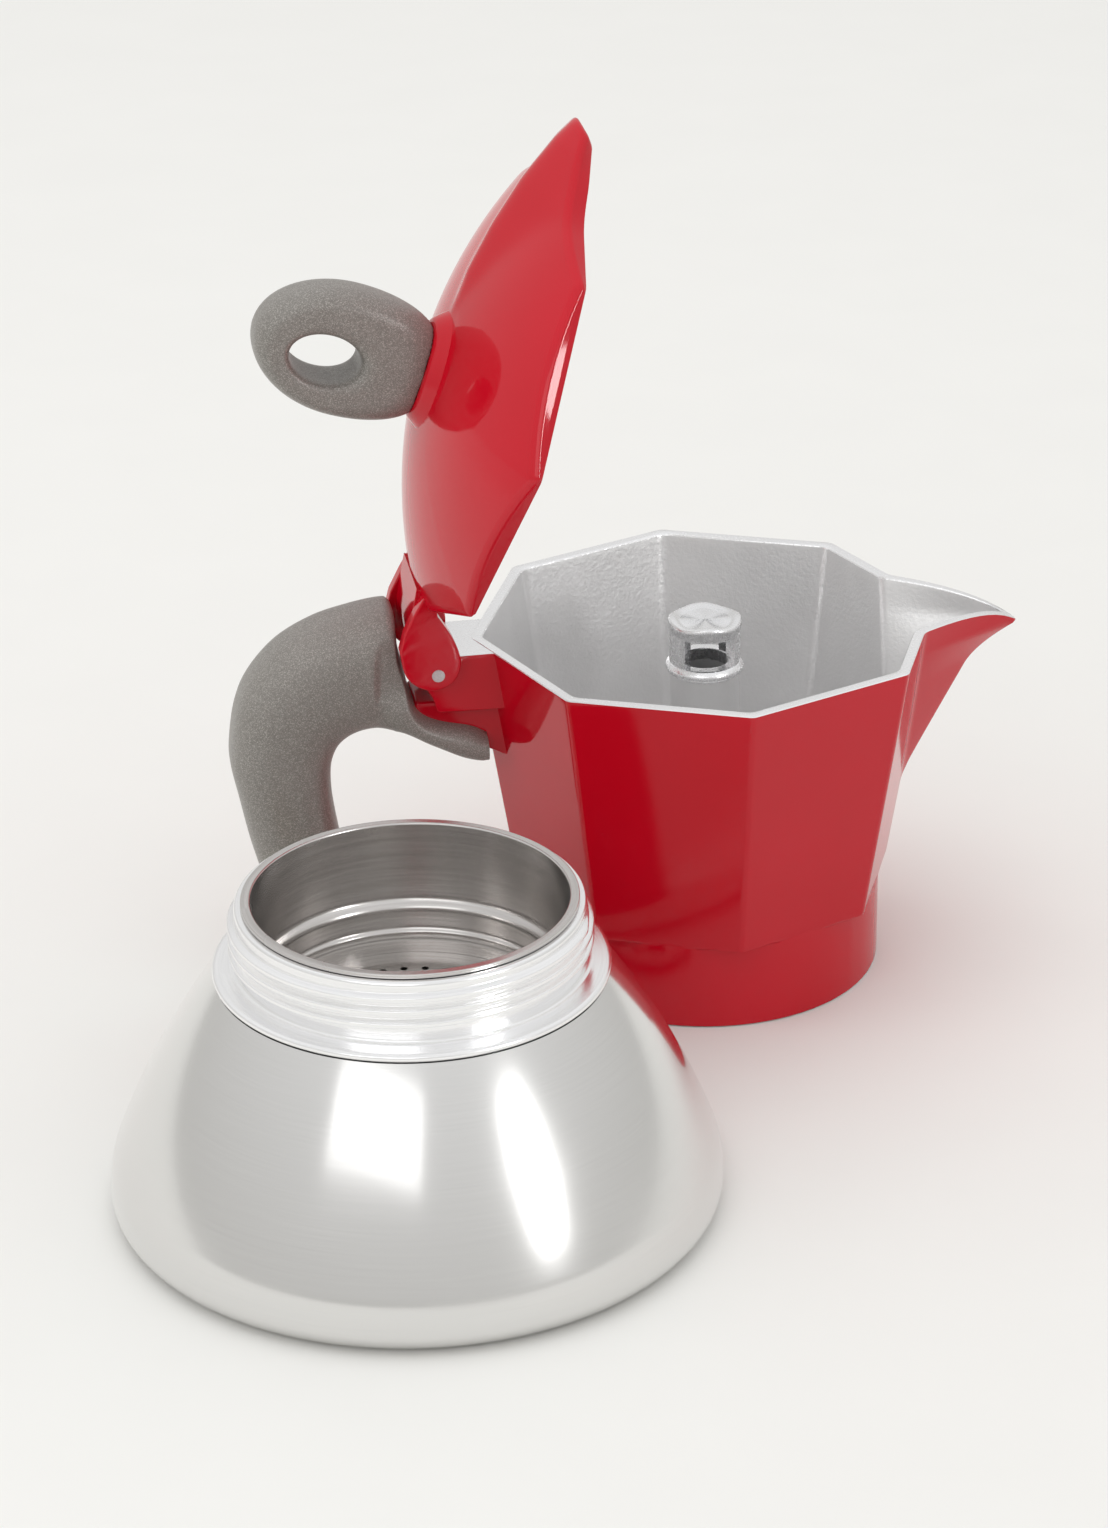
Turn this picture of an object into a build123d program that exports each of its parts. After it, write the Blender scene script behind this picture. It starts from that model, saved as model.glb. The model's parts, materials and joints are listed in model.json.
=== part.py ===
from build123d import *
import math
import os

# A stove-top moka pot, taken apart for filling: the boiler with its funnel stands in front,
# and the collector with lid and handle stands on the table beside it.
# Frame: origin at the centre of the boiler's foot, +Z up, +X along the spout.

# ---- driving dimensions, millimetres and degrees -------------------------------------------
# where the collector stands, and how high it sits once it is screwed onto the boiler
collector_x = 72.9
collector_y = 87.4

# boiler: steel dome over an aluminium vessel
dome_widest_r = 58.3
dome_foot_round = 4.5
dome_low_arc_r = 20.0
dome_low_arc_deg = 21.0
dome_high_arc_r = 157.0
dome_top_z = 48.3
shell_wall = 0.9
bond_gap = 0.1
vessel_wall = 2.0
shell_lip_r = 35.6
flange_r = 37.2
flange_bottom_z = 48.4
flange_top_z = 50.0
neck_bore_r = 30.6
neck_root_r = 32.8
thread_crest_r = 34.0
thread_pitch = 3.0
thread_turns = 3
first_thread_z = 53.2
boiler_rim_z = 62.3
boiler_rim_r = 32.4

# funnel
funnel_gap = 0.1
funnel_rim_r = 31.4
funnel_rim_t = 0.8
funnel_outer_r = 30.1
funnel_wall = 0.6
funnel_step_z = 46.0
funnel_step_r = 28.7
funnel_floor_z = 35.5
funnel_cone_z = 24.0
stem_outer_r = 4.6
stem_wall = 0.6
stem_bottom_z = 9.0
strainer_t = 0.5
strainer_hole_r = 0.7
strainer_rings = ((1, 0.0), (8, 5.5), (14, 10.5), (20, 15.5), (33, 21.4))

# safety valve, on the dome at this height angle and this compass angle
valve_tilt_deg = 27.0
valve_compass_deg = 110.0
valve_washer_t = 0.6
valve_hex_across = 11.0
valve_hex_t = 3.0
valve_tube_r = 4.4
valve_bore_r = 3.0
valve_inner_end = -8.0
valve_seat_end = -5.2
valve_outer_end = 9.0
ball_r = 2.2
ball_seat_r = 1.5
valve_pin_r = 1.1

# collector: eight-sided, on a round threaded skirt
skirt_r = 36.6
skirt_mouth_r = 35.1
skirt_crest_r = 34.5
skirt_root_r = 35.0
skirt_height = 18.3
skirt_ceiling_z = 17.3
octagon_bottom_r = 39.4
octagon_rim_r = 48.7
rim_z = 75.0
side_wall = 2.5
floor_z = 20.8
column_r = 7.0
column_bore_r = 5.0
column_top_z = 68.5
cap_r = 8.1
cap_top_z = 75.6
spout_keel = ((35.9, 42.4), (39.3, 44.3), (50.7, 50.6), (60.8, 55.9), (64.2, 58.3), (66.1, 61.0))
spout_tip_x = 66.4
spout_tip_z = 69.3
spout_half_width = 15.2
spout_wall = 1.8

# hinge
hinge_x = -56.8
hinge_z = 72.6
pin_r = 1.3
pin_clearance = 0.05
lug_half = 9.0
ear_gap = 0.35
ear_t = 3.2
lid_open_deg = 71.0

# lid
lid_rim_r = 49.2
lid_rim_z = 75.5
lid_wall = 1.3
dome_cap_top_z = 91.5
dome_cap_edge_z = 76.1
boss_top_z = 93.2
knob_z = 110.6
knob_x = 1.6
knob_half_x = 12.9
knob_half_z = 18.6
knob_half_y = 7.0

# underside of the collector
gasket_outer_r = 32.6
gasket_inner_r = 26.0
gasket_bottom_z = 12.9
gasket_t = 3.4
filter_t = 0.8
filter_outer_r = 28.5
filter_rings = ((8, 9.0), (14, 14.0), (20, 19.0))

# handle
handle_half = 10.5
handle_round = 6.0
bracket_half = 6.0
screw_x = -57.5
screw_r = 2.0


# ---- helpers ---------------------------------------------------------------------------------
def turned(points):
    """Solid of revolution about Z from a closed outline of (radius, height) corners."""
    return revolve(Plane.XZ * make_face(Polyline(*points, close=True)), axis=Axis.Z)


def ring(inner_r, outer_r, low, high):
    """Round washer or tube between two heights."""
    return turned([(inner_r, low), (outer_r, low), (outer_r, high), (inner_r, high)])


def disc(radius, low, high):
    """Round solid between two heights."""
    return Pos(0, 0, low) * Cylinder(
        radius, high - low, align=(Align.CENTER, Align.CENTER, Align.MIN)
    )


def octagon(radius, height):
    """Flat octagon with a corner towards the spout."""
    return Pos(0, 0, height) * RegularPolygon(radius, 8)


def octagon_taper(low_r, low_z, high_r, high_z):
    """Eight-sided solid that widens from one height to the next."""
    return loft([octagon(low_r, low_z), octagon(high_r, high_z)], ruled=True)


def side_plate(points, low_y, high_y):
    """Plate cut to an outline of (x, z) corners, between two places along Y."""
    face = Plane.XZ * make_face(Polyline(*points, close=True))
    return Pos(0, high_y, 0) * extrude(face, amount=high_y - low_y)


def cross_pin(x, z, radius, low_y, high_y):
    """Round pin along Y."""
    face = Plane.XZ * Pos(x, z) * Circle(radius)
    return Pos(0, high_y, 0) * extrude(face, amount=high_y - low_y)


def pierced(plate, rings, hole_r, low, high):
    """Plate with rings of small round holes: each ring is (count, radius)."""
    drills = []
    for count, radius in rings:
        for spot in PolarLocations(radius, count):
            drills.append(spot * disc(hole_r, low, high))
    return plate - drills


def at_collector(shape):
    """Moves a shape from the collector's axis to where the collector stands."""
    return Pos(collector_x, collector_y, 0) * shape


def opened(shape):
    """Swings a closed-lid shape back about the hinge pin."""
    pivot = Pos(hinge_x, 0, hinge_z)
    return pivot * Rot(0, -lid_open_deg, 0) * pivot.inverse() * shape


# ---- boiler ----------------------------------------------------------------------------------
def dome_face(inset):
    """Half section of the dome, moved inwards by inset all the way round."""
    foot_r = dome_widest_r - dome_foot_round
    low_x = dome_widest_r - dome_low_arc_r
    turn = math.radians(dome_low_arc_deg)
    offset = dome_low_arc_r - dome_high_arc_r
    high_x = low_x + offset * math.cos(turn)
    high_z = dome_foot_round + offset * math.sin(turn)
    top_deg = math.degrees(math.asin((dome_top_z - high_z) / dome_high_arc_r))
    foot = CenterArc((foot_r, dome_foot_round), dome_foot_round - inset, -90, 90)
    low = CenterArc((low_x, dome_foot_round), dome_low_arc_r - inset, 0, dome_low_arc_deg)
    high = CenterArc(
        (high_x, high_z), dome_high_arc_r - inset, dome_low_arc_deg, top_deg - dome_low_arc_deg
    )
    top = high @ 1
    back = Polyline((top.X, top.Y), (0, top.Y), (0, inset), (foot_r, inset))
    return make_face([foot, low, high, back])


def dome_solid(inset):
    """The dome as a full solid, moved inwards by inset."""
    return revolve(Plane.XZ * dome_face(inset), axis=Axis.Z)


def neck_outline():
    """Corners of the threaded neck and flange, from the bore outwards and back."""
    points = [(neck_bore_r, dome_top_z - 4.0), (shell_lip_r - 0.2, dome_top_z - 4.0)]
    points += [(shell_lip_r - 0.2, flange_bottom_z), (flange_r - 0.5, flange_bottom_z)]
    points += [(flange_r, flange_bottom_z + 0.5), (flange_r, flange_top_z - 0.5)]
    points += [(flange_r - 0.5, flange_top_z), (neck_root_r, flange_top_z)]
    for turn in range(thread_turns):
        mid = first_thread_z + turn * thread_pitch
        points += [(neck_root_r, mid - 1.1), (thread_crest_r, mid - 0.4)]
        points += [(thread_crest_r, mid + 0.4), (neck_root_r, mid + 1.1)]
    points += [(neck_root_r, boiler_rim_z - 0.6), (boiler_rim_r, boiler_rim_z)]
    points += [(neck_bore_r, boiler_rim_z)]
    return points


def valve_frame():
    """Location on the dome's skin with Z along its outward normal."""
    tilt = math.radians(valve_tilt_deg)
    turn = math.radians(dome_low_arc_deg)
    offset = dome_low_arc_r - dome_high_arc_r
    reach = dome_widest_r - dome_low_arc_r + offset * math.cos(turn)
    height = dome_foot_round + offset * math.sin(turn)
    reach += dome_high_arc_r * math.cos(tilt)
    height += dome_high_arc_r * math.sin(tilt)
    compass = math.radians(valve_compass_deg)
    east, north = math.cos(compass), math.sin(compass)
    outward = (math.cos(tilt) * east, math.cos(tilt) * north, math.sin(tilt))
    return Plane(origin=(reach * east, reach * north, height), z_dir=outward).location


def boiler_shell():
    """Polished steel outer dome, turned in under the neck's flange."""
    skin = dome_solid(0) - dome_solid(shell_wall)
    skin = skin - disc(shell_lip_r, dome_top_z - 8.0, dome_top_z + 2.0)
    return skin - valve_frame() * disc(valve_tube_r + 0.1, -6.0, 6.0)


def boiler_vessel():
    """Aluminium vessel inside the dome, with the flange and the threaded neck."""
    skin = shell_wall + bond_gap
    body = dome_solid(skin) + turned(neck_outline())
    body = body - dome_solid(skin + vessel_wall)
    body = body - disc(neck_bore_r, dome_top_z - 8.0, boiler_rim_z + 1.0)
    return body - valve_frame() * disc(valve_tube_r, -12.0, 6.0)


def valve_washer():
    """Sealing washer between the dome and the valve's hexagon."""
    return valve_frame() * ring(valve_tube_r + 0.1, 6.4, 0.05, valve_washer_t)


def valve_body():
    """Brass valve screwed into the vessel: seat, chamber, hexagon and nose."""
    body = disc(valve_tube_r, valve_inner_end, valve_outer_end)
    hexagon = Pos(0, 0, valve_washer_t) * extrude(
        RegularPolygon(valve_hex_across / 2, 6, major_radius=False), amount=valve_hex_t
    )
    body = body + hexagon
    body = body - disc(valve_bore_r, valve_seat_end, valve_outer_end + 1.0)
    return valve_frame() * (body - disc(ball_seat_r, valve_inner_end - 1.0, 0.0))


def ball_height():
    """Height of the ball's centre on its seat, with a hair of clearance."""
    return valve_seat_end + math.sqrt(ball_r**2 - ball_seat_r**2) + 0.08


def valve_ball():
    """Steel ball that closes the seat."""
    return valve_frame() * Pos(0, 0, ball_height()) * Sphere(ball_r)


def valve_pin():
    """Pin that holds the ball down and shows outside as the test knob."""
    foot = ball_height() + ball_r + 0.1
    pin = disc(valve_bore_r - 0.3, foot, foot + 1.0)
    pin = pin + disc(valve_pin_r, foot, valve_outer_end + 2.5)
    return valve_frame() * (pin + disc(1.9, valve_outer_end + 1.7, valve_outer_end + 3.0))


def valve_spring():
    """Coil spring between the pin's foot and the cap."""
    low = ball_height() + ball_r + 1.4
    high = valve_outer_end - 1.5
    turns = 5
    path = Helix((high - low) / turns, high - low, 2.0)
    wire = sweep(Plane(path @ 0, z_dir=path % 0) * Circle(0.25), path=path)
    return valve_frame() * Pos(0, 0, low) * wire


def valve_cap():
    """Ring swaged into the valve's mouth, which the spring pushes against."""
    return valve_frame() * ring(
        valve_pin_r + 0.15, valve_bore_r - 0.02, valve_outer_end - 1.1, valve_outer_end - 0.2
    )


# ---- funnel ----------------------------------------------------------------------------------
def funnel_cup():
    """Spun steel cup with a rolled rim, a step and a conical underside."""
    low = boiler_rim_z + funnel_gap
    top = low + funnel_rim_t
    inner = funnel_outer_r - funnel_wall
    step_in = funnel_step_r - funnel_wall
    cone_in = stem_outer_r + 0.05
    points = [(funnel_rim_r, low), (funnel_rim_r, top - 0.3), (funnel_rim_r - 0.3, top)]
    points += [(inner + 0.3, top), (inner, top - 0.5), (inner, funnel_step_z + 0.4)]
    points += [(step_in, funnel_step_z - 0.4), (step_in, funnel_floor_z)]
    points += [(cone_in, funnel_cone_z), (cone_in, funnel_cone_z - funnel_wall)]
    points += [(funnel_step_r, funnel_floor_z - funnel_wall), (funnel_step_r, funnel_step_z - 1.0)]
    points += [(funnel_outer_r, funnel_step_z), (funnel_outer_r, low)]
    return turned(points)


def strainer_plate():
    """Perforated disc that carries the coffee in the funnel."""
    radius = funnel_step_r - funnel_wall - 0.05
    low = funnel_floor_z + 0.1
    plate = disc(radius, low, low + strainer_t)
    return pierced(plate, strainer_rings, strainer_hole_r, low - 1.0, low + 1.5)


def funnel_stem():
    """Tube that reaches down to just above the vessel's floor."""
    return ring(stem_outer_r - stem_wall, stem_outer_r, stem_bottom_z, funnel_cone_z + 1.5)


# ---- collector -------------------------------------------------------------------------------
def spout_section(height, keel_x, half_width):
    """Flat triangle that points along the spout at one height."""
    root_x = octagon_rim_r - 14.0
    corners = [(root_x, -half_width), (keel_x, 0), (root_x, half_width)]
    return Pos(0, 0, height) * make_face(Polyline(*corners, close=True))


def spout_half(height):
    """Half width of the spout where it leaves the body, at one height."""
    low = spout_keel[0][0]
    share = (height - low) / (rim_z - low)
    return (spout_half_width + 5.0) * max(share, 0.02)


def spout_solid(wall):
    """Beak from the keel's foot to above the rim, thinner by wall on each side."""
    stations = list(spout_keel) + [(spout_tip_z, spout_tip_x), (rim_z + 6.0, spout_tip_x)]
    sections = []
    for height, keel_x in stations:
        half_width = max(spout_half(height) - 1.35 * wall, 0.2)
        sections.append(spout_section(height, keel_x - 1.7 * wall, half_width))
    return loft(sections, ruled=True)


def above_spout():
    """What is cut away over the spout's edge: a low hump, then a droop to the tip."""
    start = (octagon_rim_r - 6.5, rim_z)
    inside = octagon_rim_r - 18.0
    tip = (spout_tip_x + 1.0, spout_tip_z - 0.7)
    edge = Spline(start, (51.5, rim_z - 0.1), (59.0, rim_z - 1.7), tip)
    sky = rim_z + 15.0
    rest = Polyline(tip, (tip[0], sky), (inside, sky), (inside, rim_z), start)
    face = Plane.XZ * make_face([edge, rest])
    return Pos(0, 30, 0) * extrude(face, amount=60)


def hinge_lug():
    """Lug at the rim's back corner that the hinge pin passes through."""
    points = [(-40.0, rim_z), (-58.4, rim_z), (-59.8, 74.2), (-60.3, 72.2), (-59.8, 69.6)]
    points += [(-57.4, 66.0), (-57.4, 62.6), (-40.0, 62.6)]
    return side_plate(points, -lug_half, lug_half)


def handle_bracket():
    """Tongue below the lug that the handle sits on."""
    points = [(-40.0, 50.8), (-61.5, 60.2), (-61.5, 64.0), (-40.0, 64.0)]
    return side_plate(points, -bracket_half, bracket_half)


def skirt_bore():
    """Threaded hollow under the collector, widest at the mouth."""
    points = [(0, -1.0), (skirt_mouth_r, -1.0), (skirt_mouth_r, 2.6)]
    for turn in range(thread_turns):
        mid = 4.2 + turn * thread_pitch
        points += [(skirt_crest_r, mid - 0.5), (skirt_crest_r, mid + 0.3)]
        points += [(skirt_root_r, mid + 0.9), (skirt_root_r, mid + 1.9)]
    points += [(33.6, 13.2), (33.6, skirt_ceiling_z), (0, skirt_ceiling_z)]
    return turned(points)


def collector_body():
    """Cast aluminium jug: skirt, eight sides, spout, column, hinge lug and bracket."""
    outer = octagon_taper(octagon_bottom_r, skirt_height, octagon_rim_r, rim_z)
    beak = spout_solid(0) - above_spout()
    body = disc(skirt_r, 0, skirt_height + 1.0) + outer + beak + hinge_lug() + handle_bracket()
    grow = (octagon_rim_r - octagon_bottom_r) / (rim_z - skirt_height)
    inner_low = octagon_bottom_r + grow * (floor_z - skirt_height) - side_wall
    inner_high = octagon_rim_r - side_wall
    body = body - octagon_taper(inner_low, floor_z, inner_high, rim_z)
    above = octagon_taper(inner_high, rim_z, inner_high, rim_z + 12.0)
    body = body - above - spout_solid(spout_wall)
    body = body + disc(column_r, floor_z - 1.0, column_top_z)
    body = body - disc(column_bore_r, 0, column_top_z + 1.0) - skirt_bore()
    body = body - Pos(screw_x, 0, 0) * disc(screw_r + 0.02, 50.0, 62.6)
    return at_collector(body - cross_pin(hinge_x, hinge_z, pin_r + pin_clearance, -20, 20))


def column_cap():
    """Cap pressed over the column, with two side outlets."""
    cap = disc(cap_r, column_top_z - 4.0, cap_top_z)
    cap = cap - disc(column_r + 0.03, column_top_z - 5.0, column_top_z + 0.05)
    cap = cap - disc(column_bore_r, column_top_z - 5.0, cap_top_z - 1.6)
    outlet = Box(8.4, 40.0, 3.8)
    return at_collector(cap - Pos(0, 0, column_top_z + 2.6) * outlet)


def filter_plate():
    """Perforated plate held up under the collector's floor by the gasket."""
    low = gasket_bottom_z + gasket_t
    plate = disc(filter_outer_r, low, low + filter_t)
    return at_collector(pierced(plate, filter_rings, 0.8, low - 1.0, low + 2.0))


def gasket():
    """Flat rubber ring that seals the collector to the boiler."""
    return at_collector(
        ring(gasket_inner_r, gasket_outer_r, gasket_bottom_z, gasket_bottom_z + gasket_t)
    )


# ---- lid, modelled closed and then swung open -------------------------------------------------
def cap_solid(inset):
    """Shallow round dome, moved inwards by inset."""
    rise = dome_cap_top_z - dome_cap_edge_z
    radius = (lid_rim_r**2 + rise**2) / (2 * rise)
    ball = Pos(0, 0, dome_cap_top_z - radius) * Sphere(radius - inset)
    low = lid_rim_z - 1.0 if inset else lid_rim_z
    return ball & octagon_taper(lid_rim_r - inset, low, lid_rim_r - inset, dome_cap_top_z + 5.0)


def gable_section(x, half_width, low, eave, ridge):
    """House-shaped outline across the spout at one distance."""
    corners = [(-half_width, low), (-half_width, eave), (0, ridge), (half_width, eave)]
    corners.append((half_width, low))
    place = Plane(origin=(x, 0, 0), x_dir=(0, 1, 0), z_dir=(1, 0, 0))
    return place * make_face(Polyline(*corners, close=True))


def gable_solid(inset):
    """Roof over the spout: it narrows to the tip and droops with the spout's edge."""
    drop = lid_rim_z - 1.0 if inset else lid_rim_z
    stations = (
        (20.0, 17.8, drop, 82.6, 91.0),
        (42.6, 17.8, drop, 79.6, 86.4),
        (52.0, 10.9, drop, 78.9, 83.2),
        (60.0 - 0.5 * inset, 5.4, drop, 77.2, 79.6),
    )
    sections = []
    for x, half_width, low, eave, ridge in stations:
        sections.append(gable_section(x, half_width - inset, low, eave - inset, ridge - inset))
    return loft(sections, ruled=True)


def boss_solid():
    """Oval boss on the dome that the knob stands on."""
    foot = Pos(knob_x, 0, 82.0) * Ellipse(11.6, 9.4)
    head = Pos(knob_x, 0, boss_top_z) * Ellipse(9.3, 6.9)
    return loft([foot, head])


def hinge_ear(side):
    """One of the lid's two ears, which reach down to the pin."""
    inner = lug_half + ear_gap
    low_y, high_y = (inner, inner + ear_t) if side > 0 else (-inner - ear_t, -inner)
    rounded = Spline(
        (-45.2, 75.9), (-48.8, 71.8), (-53.1, 68.9), (-57.3, 69.0), (-60.1, 71.8), (-60.5, 75.4),
        (-58.9, 79.0), (-54.0, 82.2),
    )
    arm = Polyline((-54.0, 82.2), (-46.0, 83.6), (-38.0, 83.4), (-38.0, 78.5), (-45.2, 75.9))
    face = Plane.XZ * make_face([rounded, arm])
    return Pos(0, high_y, 0) * extrude(face, amount=high_y - low_y)


def lid():
    """Cast dome with a turned-down edge, spout roof, boss and hinge ears."""
    shell = cap_solid(0) + gable_solid(0) + boss_solid()
    hollow = cap_solid(lid_wall) + gable_solid(lid_wall)
    bridge = side_plate(
        [(-57.0, 77.4), (-52.0, 80.4), (-41.0, 82.0), (-41.0, 79.0), (-50.5, 76.8)], -10.0, 10.0
    )
    shell = shell + hinge_ear(1) + hinge_ear(-1) + bridge - hollow
    boss_core = boss_solid() & cap_solid(0)
    shell = shell + (boss_core & (Pos(0, 0, 84.0 + 10.0) * Box(60, 60, 20)))
    shell = shell - cross_pin(hinge_x, hinge_z, pin_r, -20, 20)
    shell = shell - Pos(knob_x, 0, 0) * disc(2.1, 70.0, 110.0)
    shell = shell - Pos(knob_x, 0, 0) * disc(4.2, 70.0, 86.6)
    return at_collector(opened(shell))


def hinge_pin():
    """Steel pin pressed into the lid's ears."""
    reach = lug_half + ear_gap + ear_t + 0.2
    return at_collector(opened(cross_pin(hinge_x, hinge_z, pin_r, -reach, reach)))


def knob():
    """Oval ring knob with a finger hole, flat where it meets the boss."""
    face = Plane.XZ * Pos(knob_x, knob_z - 1.8) * Ellipse(knob_half_x, knob_half_z)
    body = Pos(0, knob_half_y, 0) * extrude(face, amount=2 * knob_half_y)
    body = fillet(body.edges(), 4.6)
    hole = Plane.XZ * Pos(knob_x - 1.2, knob_z + 1.0) * Ellipse(4.9, 7.2)
    body = body - Pos(0, 20, 0) * extrude(hole, amount=40)
    near = body.edges().sort_by_distance((knob_x - 1.2, knob_half_y, knob_z + 1.0))
    far = body.edges().sort_by_distance((knob_x - 1.2, -knob_half_y, knob_z + 1.0))
    inside = [near[0], far[0]]
    body = fillet(inside, 2.2)
    body = body - Pos(0, 0, boss_top_z - 20.0 + 0.05) * Box(90, 90, 40)
    body = body - Pos(knob_x, 0, 0) * disc(2.0, 80.0, 101.0)
    return at_collector(opened(body))


def knob_screw():
    """Screw from under the lid, through the boss, into the knob."""
    screw = disc(1.98, 86.5, 100.5) + disc(3.6, 84.0, 86.5)
    slot = Pos(0, 0, 84.0) * Box(8.0, 0.9, 1.8)
    return at_collector(opened(Pos(knob_x, 0, 0) * (screw - slot)))


# ---- handle ----------------------------------------------------------------------------------
def handle_face():
    """Side outline of the handle: horn, back, grip, finger curve and lower arm."""
    back = Spline(
        (-64.2, 83.6), (-75.5, 82.4), (-88.1, 76.5), (-96.6, 64.0), (-98.4, 52.0),
        (-95.3, 35.5), (-89.5, 17.0),
    )
    foot = ThreePointArc((-89.5, 17.0), (-82.0, 9.6), (-74.5, 17.2))
    front = Spline((-74.5, 17.2), (-77.4, 40.3), (-77.0, 54.0), (-66.1, 58.0), (-47.4, 49.6))
    arm = Polyline((-47.4, 49.6), (-44.9, 50.2), (-44.9, 52.6), (-61.9, 60.3), (-62.2, 66.0))
    notch = Polyline((-62.2, 66.0), (-64.2, 69.5), (-66.2, 76.8), (-64.2, 83.6))
    return Plane.XZ * make_face([back, foot, front, arm, notch])


def handle():
    """Moulded grip, bolted under the collector's bracket."""
    body = Pos(0, handle_half, 0) * extrude(handle_face(), amount=2 * handle_half)
    body = body - octagon_taper(octagon_bottom_r, skirt_height, octagon_rim_r, rim_z)
    body = body - Pos(screw_x, 0, 0) * disc(2.1, 40.0, 75.0)
    for side in (-1, 1):
        relief = Box(15.0, 10.0, 24.0)
        body = body - Pos(-60.0, side * (lug_half + 5.05), 78.5) * relief
    return at_collector(body - Pos(screw_x, 0, 0) * disc(3.9, 40.0, 56.6))


def handle_screw():
    """Screw from under the lower arm up into the bracket."""
    screw = disc(screw_r, 56.5, 62.5) + disc(3.6, 54.6, 56.5)
    slot = Pos(0, 0, 54.6) * Box(8.0, 0.9, 1.6)
    return at_collector(Pos(screw_x, 0, 0) * (screw - slot))


parts = (
    boiler_shell, boiler_vessel, valve_washer, valve_body, valve_ball, valve_pin, valve_spring,
    valve_cap, funnel_cup, strainer_plate, funnel_stem, collector_body, column_cap,
    filter_plate, gasket, lid, hinge_pin, knob, knob_screw, handle, handle_screw,
)

os.makedirs("parts", exist_ok=True)
for make in parts:
    export_step(make(), f"parts/{make.__name__}.step")
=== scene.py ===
"""Looks of a stove-top moka pot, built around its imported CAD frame.

The pot is taken apart: the boiler with its funnel stands in front, and the collector with its
open lid, knob and handle stands on the same surface behind it.
Lengths in this file are millimetres unless a name ends in _m.
"""

import json
import logging
import math
from dataclasses import dataclass, field
from enum import Enum

import bpy
import numpy as np
from mathutils import Matrix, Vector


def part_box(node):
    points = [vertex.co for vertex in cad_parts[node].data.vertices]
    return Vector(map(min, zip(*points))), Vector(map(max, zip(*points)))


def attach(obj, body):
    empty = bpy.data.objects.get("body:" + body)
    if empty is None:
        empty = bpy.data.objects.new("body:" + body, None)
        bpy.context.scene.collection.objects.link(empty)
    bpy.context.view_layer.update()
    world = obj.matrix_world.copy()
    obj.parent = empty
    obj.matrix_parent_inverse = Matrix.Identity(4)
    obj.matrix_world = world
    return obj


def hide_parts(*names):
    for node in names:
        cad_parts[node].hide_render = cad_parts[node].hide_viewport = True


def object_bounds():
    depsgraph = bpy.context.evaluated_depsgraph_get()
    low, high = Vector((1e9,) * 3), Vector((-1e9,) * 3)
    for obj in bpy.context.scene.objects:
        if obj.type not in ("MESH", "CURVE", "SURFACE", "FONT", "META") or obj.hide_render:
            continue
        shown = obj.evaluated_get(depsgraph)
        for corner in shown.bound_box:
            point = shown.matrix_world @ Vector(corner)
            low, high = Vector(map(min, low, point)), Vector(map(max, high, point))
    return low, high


logging.basicConfig(level=logging.INFO, format="%(message)s")
log = logging.getLogger("moka_pot")

METRES = 0.001
COLUMNS = 192

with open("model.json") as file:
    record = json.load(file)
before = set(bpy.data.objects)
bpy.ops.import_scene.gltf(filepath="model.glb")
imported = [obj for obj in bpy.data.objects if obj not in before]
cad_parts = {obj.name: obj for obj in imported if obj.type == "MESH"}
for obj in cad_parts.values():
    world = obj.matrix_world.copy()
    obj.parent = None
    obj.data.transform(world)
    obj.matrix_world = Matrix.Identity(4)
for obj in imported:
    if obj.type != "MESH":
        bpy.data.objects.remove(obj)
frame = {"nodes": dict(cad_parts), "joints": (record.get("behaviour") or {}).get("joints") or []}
cad_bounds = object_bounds()


Colour = tuple[float, float, float]


class Slot(Enum):
    """Material slots of the record; no piece in this script takes its finish from them."""

    SHELL = "polished_steel"
    ALUMINIUM = "bare_aluminium"
    FUNNEL = "funnel_steel"
    ENAMEL = "red_enamel"
    RUBBER = "seal_rubber"
    GRIP = "grip_plastic"


class Ends(Enum):
    """How the first and last rows of a surface finish."""

    JOINED = "joined"
    CLOSED = "closed"


# ---- mesh helpers ----------------------------------------------------------------------------
NORMAL_WEIGHT = 60


def centre_of(node: str) -> np.ndarray:
    """Returns the middle of a CAD node's box at rest, in millimetres."""
    low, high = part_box(node)
    return (np.array(low) + np.array(high)) / 2 / METRES


def low_of(node: str) -> np.ndarray:
    """Returns the lowest corner of a CAD node's box at rest, in millimetres."""
    return np.array(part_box(node)[0]) / METRES


def high_of(node: str) -> np.ndarray:
    """Returns the highest corner of a CAD node's box at rest, in millimetres."""
    return np.array(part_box(node)[1]) / METRES


def joint_range_deg(name: str) -> float:
    """Returns the upper limit of a hinge joint, in degrees."""
    joint = next(j for j in frame["joints"] if j["name"] == name)
    return float(joint["range_deg"][1])


def rounded(corners: list[tuple[float, float, float]], steps: int = 6) -> np.ndarray:
    """Rounds the corners of a closed outline.

    Each corner P with setback d becomes the curve (1-t)^2 A + 2t(1-t) P + t^2 B, where A and B
    lie d before and after P on its two sides.

    Args:
        corners: (x, y, setback) of each corner, in order.
        steps: points along each rounded corner.

    Returns:
        The outline as an (n, 2) array.
    """
    data = np.array(corners, float)
    spot, back = data[:, :2], data[:, 2:]
    before, after = np.roll(spot, 1, 0) - spot, np.roll(spot, -1, 0) - spot
    span_a = np.linalg.norm(before, axis=1, keepdims=True)
    span_b = np.linalg.norm(after, axis=1, keepdims=True)
    start = spot + before / span_a * np.minimum(back, 0.49 * span_a)
    end = spot + after / span_b * np.minimum(back, 0.49 * span_b)
    t = np.linspace(0, 1, steps)[None, :, None]
    curve = (1 - t) ** 2 * start[:, None] + 2 * t * (1 - t) * spot[:, None] + t**2 * end[:, None]
    sharp = back[:, 0] <= 0
    pieces = [curve[i, :1] if sharp[i] else curve[i] for i in range(len(spot))]
    return np.concatenate(pieces)


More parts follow.
